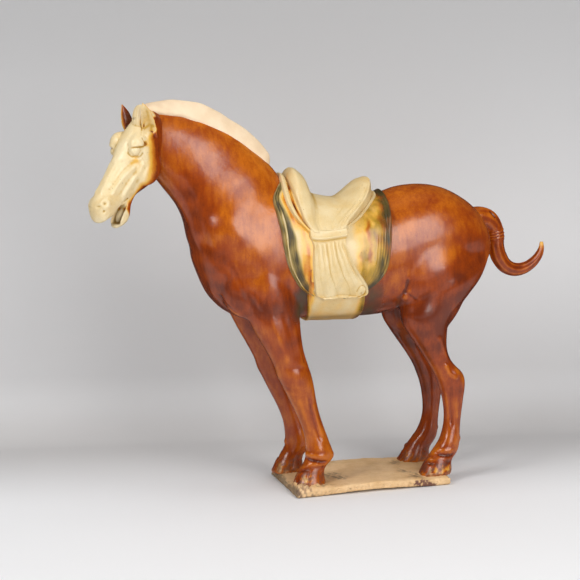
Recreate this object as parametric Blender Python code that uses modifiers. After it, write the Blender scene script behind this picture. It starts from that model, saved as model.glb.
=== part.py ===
# Sancai horse: one hollow-built pottery figure, fired in one piece with its slab.
# Metres, +Z up. The horse faces -X and its left side faces -Y. The origin is on the
# ground, under the middle of the figure's box.
import bmesh
import bpy
import numpy as np
from mathutils import Matrix, Vector
from mathutils.bvhtree import BVHTree

# driving sizes, in metres
HEIGHT = 0.530            # ground to the top of the mane
SLAB_LENGTH = 0.218
SLAB_WIDTH = 0.150
SLAB_THICK = 0.0105
SLAB_ARCH = 0.0030        # how far the slab's middle was lifted in the kiln
SLAB_FOOT = 0.034         # length of the flat strip under each end of the slab
SLAB_CENTRE_X = 0.003     # in the figure's own frame, like all the tables below
BODY_HALF_WIDTH = 0.069
HEAD_TURN = 28.0          # degrees that the head looks to its left
BLANKET_THICK = 0.0035
SADDLE_THICK = 0.0060
MANE_HALF_WIDTH = 0.0085
HOOF_SINK = 0.0020        # how far the hooves are luted into the slab

# fineness of the solid
ROUGH_VOXEL = 0.0030
FINE_VOXEL = 0.0016
SOLID_TRIANGLES = 9000
RING = 40
ROWS = 36

# The tables below are in millimetres of a figure that is DRAWN_HEIGHT high with its
# soles at DRAWN_SOLE. The figure is scaled so that it stands HEIGHT high on the slab.
DRAWN_HEIGHT = 530.0
DRAWN_SOLE = 11.0
DRAWN_HALF_WIDTH = 69.0
MM = 0.001
FIGURE_SCALE = (HEIGHT - SLAB_THICK) / MM / (DRAWN_HEIGHT - DRAWN_SOLE)
WIDTH_SCALE = BODY_HALF_WIDTH / MM / (DRAWN_HALF_WIDTH * FIGURE_SCALE)

# trunk: x, back line, belly line, half width, squareness of the section, egg
TRUNK = [
    (-223, 344, 320, 12, 2.0, 0.0), (-214, 372, 296, 32, 2.0, 0.0),
    (-205, 390, 275, 43, 2.1, 0.0), (-192, 402, 258, 51, 2.2, 0.0),
    (-172, 412, 243, 57, 2.2, 0.0), (-150, 420, 235, 61, 2.1, 0.05),
    (-125, 427, 232, 64, 2.0, 0.08), (-100, 423, 233, 66, 2.0, 0.08),
    (-85, 412, 233, 67, 2.0, 0.06), (-70, 400, 232.5, 68, 2.0, 0.05),
    (-40, 389.5, 231.5, 69, 2.1, 0.02), (-10, 388, 231, 69, 2.1, 0.0),
    (20, 393, 231.5, 68, 2.1, 0.0), (47, 402, 234, 66.5, 2.1, 0.0),
    (70, 408, 240, 66, 2.1, 0.0),
    (95, 410, 254, 65.5, 2.1, 0.0), (126, 405, 268, 64, 2.1, 0.0),
    (150, 394, 278, 60, 2.1, 0.0), (170, 380, 284, 53, 2.1, 0.0),
    (184, 364, 290, 43, 2.0, 0.0), (194, 343, 300, 27, 2.0, 0.0),
    (198, 327, 313, 10, 2.0, 0.0),
]

# neck: distance down the neck's own line, crest, throat, half width, squareness, egg
NECK_START = (-262, 466)
NECK_SLOPE = -45.9
NECK = [
    (-46, 30, 4, 10, 2.0, 0.0), (-32, 44, -14, 17, 2.0, 0.1),
    (-15, 55, -24, 22, 2.0, 0.15), (12, 70, -29.5, 26, 2.0, 0.2),
    (40, 80, -32.5, 30, 2.0, 0.22), (71, 86, -37, 36, 2.0, 0.22),
    (90, 88, -45, 41, 2.0, 0.2), (110, 90, -58.5, 46, 2.0, 0.15),
    (126, 90, -66, 50, 2.0, 0.1), (146, 86, -72, 53, 2.0, 0.05),
    (170, 76, -74, 54, 2.0, 0.0), (195, 60, -68, 48, 2.0, 0.0),
]

# mane: distance down the neck's line, its outer edge, its root, share of the width
MANE = [
    (-53, 31, 22, 0.60), (-44, 45, 26, 0.85), (-35, 56, 34, 0.95),
    (-22, 68.5, 44, 1.0), (-8, 79, 56, 1.0), (7, 86.5, 62, 1.0),
    (25, 92.5, 68, 1.0), (45, 97, 72, 1.0), (66, 101.5, 76, 1.02),
    (82, 102.5, 78, 1.06), (101, 101.5, 80, 1.1), (114, 98, 80, 1.05),
    (121, 91, 82, 0.7),
]

# tied forelock, in the head's frame: forward, to the left, up
FORELOCK = (32, 0, 511)
FORELOCK_RADII = (7.5, 8.5, 14.5)
FORELOCK_LEAN = -20

# head, in its own turned frame: distance from the poll to the lips, face line, jaw
# line, half width, squareness, egg
HEAD_PIVOT = -262
HEAD_START = (10, 498)
HEAD_SLOPE = -55.2
SKULL = [
    (-14, 15, -8, 11, 2.0, 0.0), (-6, 23, -18, 17, 2.0, 0.0),
    (8, 25.5, -27, 21, 2.1, 0.0), (24, 27.5, -31, 24, 2.2, 0.0),
    (40, 29, -34, 26, 2.2, 0.0), (55, 27.5, -37, 25.5, 2.2, 0.05),
    (70, 26.2, -35, 22, 2.2, 0.12), (85, 26, -28, 18, 2.2, 0.15),
    (98, 25.5, -22, 16, 2.2, 0.12), (110, 25, -16, 15.5, 2.2, 0.1),
    (122, 24.8, -9, 17, 2.2, 0.1), (134, 24, -6.5, 18, 2.2, 0.05),
    (143, 19, -3.0, 17, 2.1, 0.0), (149.5, 12, 0, 13, 2.0, 0.0),
    (153.5, 7, 3, 5, 2.0, 0.0),
]
JAW = [
    (80, -8, -28, 13, 2.0, 0.0), (96, -10, -23.5, 12, 2.0, 0.0),
    (110, -11, -25, 11.5, 2.0, 0.0), (122, -12, -30.5, 12, 2.0, 0.0),
    (132, -14, -30, 12.5, 2.0, 0.0), (140, -16, -26, 10, 2.0, 0.0),
    (144.5, -19, -22.5, 4, 2.0, 0.0),
]

# swellings on each side of the head: centre and radii along the skull, out, up
HEAD_BUMPS = [
    ((40, 15, 17), (19, 12.5, 12)),       # brow
    ((58, 17.5, -15), (24, 10, 19)),      # cheek
    ((131, 12, 12.5), (13, 8, 9.5)),      # wing of the nostril
]
EYE = (52, 22, 15)
EYE_RADII = (8, 6.5, 5.5)

# ear: distance from root to tip, front edge, back edge, half thickness
EAR_ROOT = (25, 17, 489)
EAR_TIP = (39, 22, 526)
EAR = [
    (-8, 7, -10, 6.4), (3, 9, -12.5, 6.0), (12, 8.6, -12.8, 5.2),
    (21, 6.6, -11, 4.2), (30, 3.8, -7, 2.9), (36, 1.8, -3.6, 1.9), (39.5, 0.6, -1.2, 0.9),
]

# legs: height, front edge, rear edge, distance out from the middle, half width, squareness
FORE_LEG = [
    (305, -170, -100, 34, 22, 2.0), (265, -163, -88, 38, 25, 2.0),
    (240, -158, -87, 41, 25, 2.0), (221, -149, -86.5, 42, 23.5, 2.0),
    (195, -135, -83.5, 42.5, 20.5, 2.1), (175, -125, -78, 42.5, 18.5, 2.2),
    (160, -119.5, -73.5, 42.5, 18, 2.3), (145, -113, -70.5, 42.5, 17.5, 2.4),
    (130, -106, -68.5, 42.5, 16, 2.3), (115, -99, -65.5, 42.5, 13.5, 2.1),
    (100, -92.5, -61.5, 42.5, 12.2, 2.1), (84, -87, -56, 42.5, 12, 2.1),
    (68, -84.5, -50.5, 42.5, 13.5, 2.1), (53, -84.5, -46, 43, 15.5, 2.1),
    (44, -86.5, -46.5, 43, 15.5, 2.1), (35, -92, -57, 43.5, 14.2, 2.1),
    (27, -98, -60, 43.5, 17.5, 2.1), (18, -101.5, -58.5, 44, 20, 2.2),
    (9, -105, -57, 44, 21.5, 2.3),
]
HIND_LEG = [
    (312, 90, 190, 32, 24, 2.0), (276, 68, 170, 37, 29, 2.0),
    (250, 57, 147, 40, 30, 2.0), (232, 54.5, 129, 42, 27.5, 2.0),
    (220, 57, 122, 43, 24.5, 2.0), (205, 66, 120.2, 43, 22, 2.0),
    (185, 79.5, 119.5, 42.5, 18.5, 2.0), (166, 92, 126.5, 42, 16, 2.1),
    (150, 101, 140.5, 42, 15.5, 2.2), (140, 105, 145.5, 42, 15.5, 2.3),
    (130, 108.5, 145.5, 42, 15, 2.2), (115, 112, 143.5, 42, 13, 2.1),
    (100, 113.8, 141.5, 42, 11.8, 2.1), (84, 114, 139, 42, 11.5, 2.1),
    (68, 111, 137, 42.5, 13, 2.1), (54, 105, 136, 43, 15, 2.1),
    (45, 97, 135, 43.5, 15, 2.1), (35, 89, 129, 44, 14.5, 2.1),
    (28, 84, 122.5, 44, 16.5, 2.1), (19, 79.5, 123.5, 44.5, 19.5, 2.2),
    (9, 74, 121.5, 44.5, 21, 2.3),
]
RIGHT_FORE_STEP = -7.0    # the right foreleg stands this far ahead of the left one

# muscles: centre x, distance out, height, radii along x, y, z, tilt in degrees
MUSCLES = [
    (-166, 30, 336, 42, 27, 66, -28),     # shoulder blade
    (-150, 38, 280, 42, 22, 42, 25),      # point of the shoulder and upper arm
    (-184, 18, 296, 24, 22, 36, 0),       # breast
    (118, 30, 330, 60, 32, 62, 20),       # quarters
    (84, 38, 264, 34, 22, 38, -30),       # stifle
    (158, 26, 306, 32, 25, 48, 20),       # seat bone
]

# docked and bound tail: x, height, radius along its curve
TAIL = [
    (168, 350, 16), (184, 358, 17), (199, 355, 15.5), (208, 345, 13.5),
    (212, 331, 12), (213, 316, 11.5), (217, 302, 11.5), (226, 289.5, 10.5),
    (240, 283.2, 9.4), (256, 285.2, 8.2), (268, 292, 7.0), (277, 301.5, 5.6),
    (281.5, 311.5, 4.0), (282, 321, 2.2),
]

# cloth on the trunk. Each row is one line across the cloth, from a point of its front
# edge to a point of its rear edge: angle from the spine and x, then the same again.
BLANKET_EDGE = [
    (0, -99, 0, 42), (20, -103, 18, 41), (34, -112, 29, 41), (46, -119.5, 39, 41), (62, -117, 60, 39),
    (74, -114, 77, 36), (88, -112, 94, 31), (102, -107, 106, 22), (112, -99, 114, 8),
    (120, -89, 121, -10), (125, -77, 125, -32),
]
PAD_EDGE = [
    (0, -102, 0, 31), (24, -105, 18, 29), (42, -106, 34, 13), (55, -102, 47, -4),
    (64, -92, 55, -19), (70, -77, 60, -25),
]
SADDLE_EDGE = [
    (0, -97, 0, 25), (23, -100, 15, 24), (42, -98, 33, 9), (54, -94, 46, -11),
    (64, -86, 54, -22), (69, -75, 60, -26),
]
SKIRT_EDGE = [
    (66.5, -78, 59, -25), (73.5, -77, 66.5, -27), (76.5, -73, 70, -34), (88, -73.5, 80, -30),
    (98, -74, 89, -22), (106, -74, 97, -14), (114, -73, 106, -4), (119, -72, 113, 0),
    (123, -68, 119, -3), (125, -58, 121, -14),
]
GIRTH_EDGE = [
    (100, -80, 100, -10), (124, -80, 123, -1), (140, -77, 140, 1), (160, -73, 160, -1),
    (180, -71, 180, -4),
]
POMMEL_RISE = 19.5
CANTLE_RISE = 21.0
ROLL_REACH = 64.0         # degrees from the spine where pommel and cantle run out
PAD_LIFT = 2.0            # the saddle's felt pad over the blanket
SKIRT_LIFT = 3.8          # the gathered cloth over the blanket
STRAP_LIFT = 2.0          # the strap over the gathered cloth
STRAP_END = 65.5          # degrees where the strap ends, at its rear; 8 more at its front
STRAP_SLANT = 8.0
PLEATS = 5
PLEAT_DEPTH = 1.0
GIRTH_LIFT = 3.5
HOOF_DRAWN_DEPTH = 2.0    # the hooves' lowest section lies this far under the sole


def smooth_rows(rows, count):
    """Reads a smooth curve through the rows of a table, ordered by its first column."""
    rows = np.array(rows, float)
    if rows[0, 0] > rows[-1, 0]:
        rows = rows[::-1]
    key = rows[:, 0]
    slope = np.gradient(rows, key, axis=0)
    at = np.linspace(key[0], key[-1], count)
    low = np.clip(np.searchsorted(key, at, side="right") - 1, 0, len(key) - 2)
    step = (key[low + 1] - key[low])[:, None]
    t = (at - key[low])[:, None] / step
    return (rows[low] * (1 + 2 * t) * (1 - t) ** 2 + rows[low + 1] * t * t * (3 - 2 * t)
            + slope[low] * step * t * (1 - t) ** 2 - slope[low + 1] * step * t * t * (1 - t))


def power_wave(value, squareness):
    return np.sign(value) * np.abs(value) ** (2 / squareness)


def mesh_from_rings(name, rings):
    """Skins closed rings of points, (rows, points, 3), and caps both ends with fans."""
    rows, around, _ = rings.shape
    mesh = bmesh.new()
    grid = [[mesh.verts.new(point) for point in ring] for ring in rings]
    for lower, upper in zip(grid, grid[1:]):
        for i in range(around):
            j = (i + 1) % around
            mesh.faces.new((lower[i], lower[j], upper[j], upper[i]))
    for ring, flip in ((grid[0], True), (grid[-1], False)):
        middle = mesh.verts.new(np.mean([v.co for v in ring], axis=0))
        for i in range(around):
            j = (i + 1) % around
            corners = (ring[j], ring[i], middle) if flip else (ring[i], ring[j], middle)
            mesh.faces.new(corners)
    bmesh.ops.recalc_face_normals(mesh, faces=mesh.faces)
    return object_from_bmesh(name, mesh)


def object_from_bmesh(name, mesh):
    data = bpy.data.meshes.new(name)
    mesh.to_mesh(data)
    mesh.free()
    made = bpy.data.objects.new(name, data)
    WORK.objects.link(made)
    return made


def loft(name, rows, start, along, upward, sideways, count=ROWS):
    """Skins superellipse sections. Each row is a distance along the line from start, the
    section's upper and lower edge, its half width, its squareness and its egg: how much
    wider it is below than above."""
    table = smooth_rows(rows, count)
    s, top, bottom, half, square, egg = (table[:, i, None, None] for i in range(6))
    angle = np.linspace(0, 2 * np.pi, RING, endpoint=False)[None, :, None]
    rise = power_wave(np.cos(angle), square)
    swing = power_wave(np.sin(angle), square) * (1 - egg * rise)
    start, along, upward, sideways = (np.array(v, float) for v in (start, along, upward, sideways))
    rings = (start + s * along + ((top + bottom) / 2 + (top - bottom) / 2 * rise) * upward
             + half * swing * sideways)
    return mesh_from_rings(name, rings)


def slanted(start, slope):
    """The line, the upward and the side direction of a part that lies in the middle plane."""
    turn = np.radians(slope)
    along = (np.cos(turn), 0, np.sin(turn))
    upward = (-np.sin(turn), 0, np.cos(turn))
    return (start[0], 0, start[1]), along, upward, (0, 1, 0)


def head_matrix():
    """Carries the head's frame (forward, to its left, up) to the figure's frame."""
    turn = np.radians(HEAD_TURN)
    forward = (-np.cos(turn), -np.sin(turn), 0)
    left = (np.sin(turn), -np.cos(turn), 0)
    return Matrix(((forward[0], left[0], 0, HEAD_PIVOT), (forward[1], left[1], 0, 0),
                   (0, 0, 1, 0), (0, 0, 0, 1)))


def to_head(made):
    made.data.transform(head_matrix())
    return made


def ball(name, centre, radii, turn=Matrix.Identity(4)):
    mesh = bmesh.new()
    place = Matrix.Translation(centre) @ turn @ Matrix.Diagonal((*radii, 1))
    bmesh.ops.create_uvsphere(mesh, u_segments=24, v_segments=16, radius=1, matrix=place)
    return object_from_bmesh(name, mesh)


def trunk_section(x):
    """Back line, belly line, half width, squareness and egg of the trunk at x."""
    fine = smooth_rows(TRUNK, 400)
    return [np.interp(x, fine[:, 0], fine[:, i]) for i in range(1, 6)]


def trunk_point(x, degrees, lift):
    """A point of the trunk's skin, lifted off it, at an angle from the spine. Positive
    angles are on the left side, -Y."""
    top, bottom, half, square, egg = trunk_section(x)
    turn = np.radians(degrees)
    rise = power_wave(np.cos(turn), square)
    swing = power_wave(np.sin(turn), square) * (1 - egg * rise)
    middle, tall, wide = (top + bottom) / 2, (top - bottom) / 2, half * WIDTH_SCALE
    out = np.stack([rise * wide, -swing * tall])
    out /= np.maximum(np.hypot(*out), 1e-6)
    return np.stack([x, -wide * swing + lift * out[1], middle + tall * rise + lift * out[0]], -1)


def cloth_patch(name, edge, lift, sink=5.0, both=True, columns=40):
    """A closed sheet that lies on the trunk between a front and a rear edge. lift is a
    function of the angle and of the share of the way from the front to the rear edge."""
    table = smooth_rows(edge, 30)
    if both:
        table = np.concatenate([table[:0:-1] * np.array([-1, 1, -1, 1]), table])
    share = np.linspace(0, 1, columns)
    angle = table[:, :1] + (table[:, 2:3] - table[:, :1]) * share
    x = table[:, 1:2] + (table[:, 3:4] - table[:, 1:2]) * share
    outer = trunk_point(x, angle, lift(np.abs(angle), share[None, :]))
    inner = trunk_point(x, angle, np.full_like(x, -sink))
    return mesh_from_rings(name, np.concatenate([outer, inner[:, ::-1]], axis=1))


def bump(value, centre, width, squareness=2):
    return np.exp(-np.abs((value - centre) / width) ** squareness)


def soft_step(value, start, end):
    t = np.clip((value - start) / (end - start), 0, 1)
    return t * t * (3 - 2 * t)


def saddle_lift(angle, share):
    """A seat between the pommel and the cantle, two rolls that run down into the strap."""
    height = 1 - soft_step(angle, 4, ROLL_REACH)
    pommel = (POMMEL_RISE * height + 2.0) * bump(share, 0.165, 0.105, 4)
    cantle = (CANTLE_RISE * height + 2.0) * soft_step(share, 0.55, 0.9)
    cantle = cantle * (1 - soft_step(share, 0.955, 1.01))
    return SADDLE_THICK / MM + pommel + cantle


def blanket_lift(angle, share):
    rim = 1.2 * (bump(share, 0.03, 0.03) + bump(share, 0.97, 0.03))
    return BLANKET_THICK / MM + rim + 0 * angle


def pad_lift(angle, share):
    return BLANKET_THICK / MM + PAD_LIFT + 0 * angle * share


def skirt_lift(angle, share):
    """The gathered cloth below the strap: narrow pleats that open downwards."""
    below = angle - STRAP_SLANT * (1 - share) - STRAP_END
    strap = STRAP_LIFT * (1 - soft_step(below, 0, 2))
    pleats = PLEAT_DEPTH * np.cos(2 * np.pi * PLEATS * share) * soft_step(below, 2, 10)
    roll = 3.0 * bump(share, 0.93, 0.10) * soft_step(angle, 96, 112)
    return BLANKET_THICK / MM + SKIRT_LIFT + strap + pleats + roll


def girth_lift(angle, share):
    return GIRTH_LIFT + 0 * angle * share


def leg(name, rows, side, step):
    """A leg, built down from the body. Its line runs down, so upward is to the rear."""
    rows = [(-z, rear + step, front + step, half, square, 0.0, out)
            for z, front, rear, out, half, square in rows]
    table = smooth_rows(rows, 60)
    made = loft(name, table[:, :6], (0, 0, 0), (0, 0, -1), (1, 0, 0), (0, 1, 0), 60)
    for vertex in made.data.vertices:
        vertex.co.y += side * np.interp(-vertex.co.z, table[:, 0], table[:, 6])
    return made


def tail():
    """The bound tail, a bevelled curve that hooks up at its end."""
    data = bpy.data.curves.new("tail", "CURVE")
    data.dimensions = "3D"
    spline = data.splines.new("POLY")
    path = smooth_path(TAIL, 50)
    spline.points.add(len(path) - 1)
    for point, (x, z, radius) in zip(spline.points, path):
        point.co = (x, 0, z, 1)
        point.radius = radius
    data.bevel_depth = 1.0
    data.bevel_resolution = 6
    data.use_fill_caps = True
    curve = bpy.data.objects.new("tail_curve", data)
    WORK.objects.link(curve)
    bpy.context.view_layer.update()
    evaluated = curve.evaluated_get(bpy.context.evaluated_depsgraph_get())
    solid = bmesh.new()
    solid.from_mesh(bpy.data.meshes.new_from_object(evaluated))
    bmesh.ops.remove_doubles(solid, verts=solid.verts, dist=1e-4)
    bmesh.ops.recalc_face_normals(solid, faces=solid.faces)
    bpy.data.objects.remove(curve)
    return object_from_bmesh("tail", solid)


def smooth_path(points, count):
    """A smooth curve through points that double back, read by its own length."""
    points = np.array(points, float)
    run = np.concatenate([[0], np.cumsum(np.hypot(*np.diff(points[:, :2], axis=0).T))])
    return smooth_rows(np.column_stack([run, points]), count)[:, 1:]


def joined(name, parts):
    mesh = bmesh.new()
    for part in parts:
        mesh.from_mesh(part.data)
    return object_from_bmesh(name, mesh)


def fused(made, voxel, passes):
    """Melts overlapping solids into one skin and rubs its joints soft."""
    melt = made.modifiers.new("melt", "REMESH")
    melt.mode = "VOXEL"
    melt.voxel_size = voxel
    rub = made.modifiers.new("rub", "SMOOTH")
    rub.factor = 0.5
    rub.iterations = passes
    apply_modifiers(made)
    return made


def apply_modifiers(made):
    bpy.context.view_layer.update()
    evaluated = made.evaluated_get(bpy.context.evaluated_depsgraph_get())
    data = bpy.data.meshes.new_from_object(evaluated)
    made.modifiers.clear()
    made.data = data


def material(name, colour, roughness):
    made = bpy.data.materials.new(name)
    made.use_nodes = True
    shader = made.node_tree.nodes["Principled BSDF"]
    shader.inputs["Base Color"].default_value = (*colour, 1)
    shader.inputs["Roughness"].default_value = roughness
    shader.inputs["Metallic"].default_value = 0.0
    made.diffuse_color = (*colour, 1)
    return made


def make_body():
    """Trunk, neck, legs and muscles, melted and rubbed smooth as the potter left them."""
    along, upward, sideways = (1, 0, 0), (0, 0, 1), (0, WIDTH_SCALE, 0)
    parts = [loft("trunk", TRUNK, (0, 0, 0), along, upward, sideways, 60),
             loft("neck", NECK, *slanted(NECK_START, NECK_SLOPE))]
    for side, step in ((-1, 0.0), (1, RIGHT_FORE_STEP)):
        parts.append(leg("foreleg", FORE_LEG, side, step))
        parts.append(leg("hind_leg", HIND_LEG, side, 0.0))
        for x, out, z, along_x, along_y, along_z, tilt in MUSCLES:
            turn = Matrix.Rotation(np.radians(tilt), 4, "Y")
            parts.append(ball("muscle", (x, side * out, z), (along_x, along_y, along_z), turn))
    return fused(joined("body", parts), ROUGH_VOXEL / MM, 22)


def make_head():
    start, along, upward, sideways = slanted(HEAD_START, HEAD_SLOPE)
    place = Matrix((along, sideways, upward)).transposed().to_4x4()
    place.translation = start
    turn = place.to_3x3().to_4x4()
    bones = [loft("skull", SKULL, start, along, upward, sideways, 50),
             loft("jaw", JAW, start, along, upward, sideways, 30)]
    for side in (-1, 1):
        for centre, radii in HEAD_BUMPS:
            spot = Vector((centre[0], side * centre[1], centre[2]))
            bones.append(ball("bump", place @ spot, radii, turn))
    parts = [fused(joined("skull", bones), FINE_VOXEL / MM, 8)]
    for side in (-1, 1):
        spot = Vector((EYE[0], side * EYE[1], EYE[2]))
        parts.append(ball("eyeball", place @ spot, EYE_RADII, turn))
        parts.append(make_ear(side))
    return [to_head(part) for part in parts]


def make_ear(side):
    root, tip = (Vector((a, side * out, z)) for a, out, z in (EAR_ROOT, EAR_TIP))
    along = (tip - root).normalized()
    broad = Vector((1, side * 0.55, 0))
    broad = (broad - along * broad.dot(along)).normalized()
    rows = [(s, front, back, half, 2.0, 0.0) for s, front, back, half in EAR]
    return loft("ear", rows, root, along, broad, along.cross(broad), 20)


def make_mane():
    rows = [(s, top, root, MANE_HALF_WIDTH / MM * share, 2.6, 0.15)
            for s, top, root, share in MANE]
    crest = loft("mane", rows, *slanted(NECK_START, NECK_SLOPE), 50)
    lean = Matrix.Rotation(np.radians(FORELOCK_LEAN), 4, "Y")
    return [crest, to_head(ball("forelock", FORELOCK, FORELOCK_RADII, lean))]


def make_cloths():
    parts = [cloth_patch("blanket", BLANKET_EDGE, blanket_lift),
             cloth_patch("pad", PAD_EDGE, pad_lift),
             cloth_patch("saddle", SADDLE_EDGE, saddle_lift, sink=2.0)]
    for name, edge, lift in (("skirt", SKIRT_EDGE, skirt_lift), ("girth", GIRTH_EDGE, girth_lift)):
        left = cloth_patch(name, edge, lift, both=False)
        right = left.copy()
        right.data = left.data.copy()
        WORK.objects.link(right)
        right.data.transform(Matrix.Diagonal((1, -1, 1, 1)))
        right.data.flip_normals()
        parts += [left, right]
    return parts


def make_slab():
    """The slab is an arched tile. It stands on a flat strip under each end."""
    solid = bmesh.new()
    bmesh.ops.create_cube(solid, size=1.0)
    bmesh.ops.scale(solid, vec=(SLAB_LENGTH, SLAB_WIDTH, SLAB_THICK), verts=solid.verts)
    bmesh.ops.translate(solid, vec=(SLAB_CENTRE_X, 0, SLAB_THICK / 2), verts=solid.verts)
    lengthwise = [e for e in solid.edges if abs(e.verts[0].co.x - e.verts[1].co.x) > 1e-6]
    bmesh.ops.subdivide_edges(solid, edges=lengthwise, cuts=15, use_grid_fill=True)
    reach = SLAB_LENGTH / 2 - SLAB_FOOT
    for vertex in solid.verts:
        share = min(abs(vertex.co.x - SLAB_CENTRE_X) / reach, 1.0)
        vertex.co.z += SLAB_ARCH * (1 - share * share)
    made = object_from_bmesh("slab", solid)
    round_off = made.modifiers.new("worn edges", "BEVEL")
    round_off.width = SLAB_THICK * 0.12
    round_off.segments = 2
    round_off.limit_method = "ANGLE"
    round_off.angle_limit = np.radians(50)
    apply_modifiers(made)
    return made


def place_figure(made):
    """Scales a part from the tables' millimetres and stands it on the slab."""
    scale = FIGURE_SCALE * MM
    lift = SLAB_THICK - HOOF_SINK - (DRAWN_SOLE - HOOF_DRAWN_DEPTH) * scale
    made.data.transform(Matrix.Translation((0, 0, lift)) @ Matrix.Scale(scale, 4))
    return made


def paint(made, sources):
    """Gives each face the finish of the part that it was modelled from."""
    trees = []
    for index, parts in enumerate(sources):
        for part in parts:
            solid = bmesh.new()
            solid.from_mesh(part.data)
            trees.append((index, BVHTree.FromBMesh(solid)))
            solid.free()
    for face in made.data.polygons:
        hits = [(tree.find_nearest(face.center)[3], index) for index, tree in trees]
        face.material_index = min(hits)[1]


for old in list(bpy.data.objects):
    bpy.data.objects.remove(old, do_unlink=True)
COLLECTION = bpy.data.collections.new("sancai_horse")
WORK = bpy.data.collections.new("raw_clay")
for collection in (COLLECTION, WORK):
    bpy.context.scene.collection.children.link(collection)

body = [make_body()]
head = make_head()
mane = make_mane()
cloths = make_cloths()
brush = [tail()]
slab = make_slab()
figure_parts = [*body, *brush, *head, *cloths, *mane]
for part in figure_parts:
    place_figure(part)

horse = fused(joined("horse", figure_parts), FINE_VOXEL, 3)
thin = horse.modifiers.new("fewer faces", "DECIMATE")
thin.ratio = SOLID_TRIANGLES / (2 * len(horse.data.polygons))
apply_modifiers(horse)
for finish in (material("amber_glaze", (0.36, 0.09, 0.02), 0.22),
               material("cream_glaze", (0.80, 0.66, 0.38), 0.28),
               material("bare_clay", (0.80, 0.62, 0.45), 0.80)):
    horse.data.materials.append(finish)
paint(horse, ([*body, *brush], [*head, *cloths], mane))

slab.data.materials.append(bpy.data.materials["bare_clay"])
lute = horse.modifiers.new("luted to the slab", "BOOLEAN")
lute.operation = "UNION"
lute.object = slab
apply_modifiers(horse)

low, high = (np.array([f(v.co[i] for v in horse.data.vertices) for i in range(3)]) for f in (min, max))
middle = (low + high) / 2
horse.data.transform(Matrix.Translation((-middle[0], -middle[1], -low[2])))
for face in horse.data.polygons:
    face.use_smooth = True
horse.data.set_sharp_from_angle(angle=np.radians(50))
COLLECTION.objects.link(horse)
for made in list(WORK.objects):
    if made is not horse:
        bpy.data.objects.remove(made, do_unlink=True)
WORK.objects.unlink(horse)
bpy.data.collections.remove(WORK)
print("horse:", len(horse.data.polygons), "faces")
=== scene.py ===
# The sancai horse with its glazes, in the studio.
# Shapes are drawn in millimetres of the figure's own frame: x towards the tail, the
# horse's left at -y, z up from the ground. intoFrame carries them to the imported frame.
from functools import partial

import bpy
import numpy as np
from mathutils import Matrix, Vector


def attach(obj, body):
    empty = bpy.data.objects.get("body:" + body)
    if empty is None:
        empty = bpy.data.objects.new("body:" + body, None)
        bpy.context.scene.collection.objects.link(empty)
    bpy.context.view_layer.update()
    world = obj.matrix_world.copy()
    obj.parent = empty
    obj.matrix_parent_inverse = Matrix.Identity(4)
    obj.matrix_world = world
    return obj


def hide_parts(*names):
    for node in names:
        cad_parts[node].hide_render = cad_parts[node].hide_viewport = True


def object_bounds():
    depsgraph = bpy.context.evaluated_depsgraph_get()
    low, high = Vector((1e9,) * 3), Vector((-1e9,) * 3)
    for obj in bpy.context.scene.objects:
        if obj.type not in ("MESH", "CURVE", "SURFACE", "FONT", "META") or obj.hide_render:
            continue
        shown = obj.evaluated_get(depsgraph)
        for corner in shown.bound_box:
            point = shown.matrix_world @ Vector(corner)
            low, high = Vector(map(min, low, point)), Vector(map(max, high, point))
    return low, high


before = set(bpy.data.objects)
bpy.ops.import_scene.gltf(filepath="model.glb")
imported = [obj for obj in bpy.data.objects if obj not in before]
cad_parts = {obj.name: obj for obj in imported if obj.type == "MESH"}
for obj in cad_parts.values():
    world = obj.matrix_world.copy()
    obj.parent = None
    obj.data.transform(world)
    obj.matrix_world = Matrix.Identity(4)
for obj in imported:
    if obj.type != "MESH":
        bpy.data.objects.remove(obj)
cadLow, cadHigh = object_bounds()

figure = {
    "slabThick": 10.5,
    "slabCentreX": 3.0,
    "hoofSink": 2.0,
    "drawnHeight": 530.0,
    "hoofBottom": 9.0,        # the height of the hooves' lowest section, as drawn
    "drawnSole": 11.0,
    "stripBelow": 0.003,      # metres: the solid's points under this are the slab's flat strips
}


# the slab's flat strips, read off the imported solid, say where the figure stands
def slabInFrame():
    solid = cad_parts["horse"].data
    co = np.empty(len(solid.vertices) * 3, np.float32)
    solid.vertices.foreach_get("co", co)
    co = co.reshape(-1, 3)
    low = co[co[:, 2] < figure["stripBelow"]]
    return low.min(0), low.max(0)


slabLow, slabHigh = slabInFrame()
slabMiddle = (slabLow + slabHigh) / 2
perMm = (cadHigh.z - figure["slabThick"] / 1000) / (figure["drawnHeight"] - figure["drawnSole"])
standX = slabMiddle[0] - figure["slabCentreX"] / 1000
standZ = (figure["slabThick"] - figure["hoofSink"]) / 1000 - figure["hoofBottom"] * perMm


# millimetres as drawn, scaled to metres and moved to where the figure stands
def intoFrame(points):
    moved = np.asarray(points, float) * perMm
    moved[..., 0] += standX
    moved[..., 1] += slabMiddle[1]
    moved[..., 2] += standZ
    return moved


# a smooth curve through the rows of a table, ordered by its first column
def throughRows(rows, count):
    rows = np.array(rows, float)
    if rows[0, 0] > rows[-1, 0]:
        rows = rows[::-1]
    key = rows[:, 0]
    slope = np.gradient(rows, key, axis=0)
    at = np.linspace(key[0], key[-1], count)
    low = np.clip(np.searchsorted(key, at, side="right") - 1, 0, len(key) - 2)
    step = (key[low + 1] - key[low])[:, None]
    t = (at - key[low])[:, None] / step
    return (rows[low] * (1 + 2 * t) * (1 - t) ** 2 + rows[low + 1] * t * t * (3 - 2 * t)
            + slope[low] * step * t * (1 - t) ** 2 - slope[low + 1] * step * t * t * (1 - t))


# a wave to the power 2 / square, with its sign: 2 leaves it round, and more squares it off
def superWave(value, square):
    return np.sign(value) * np.abs(value) ** (2 / square)


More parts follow.
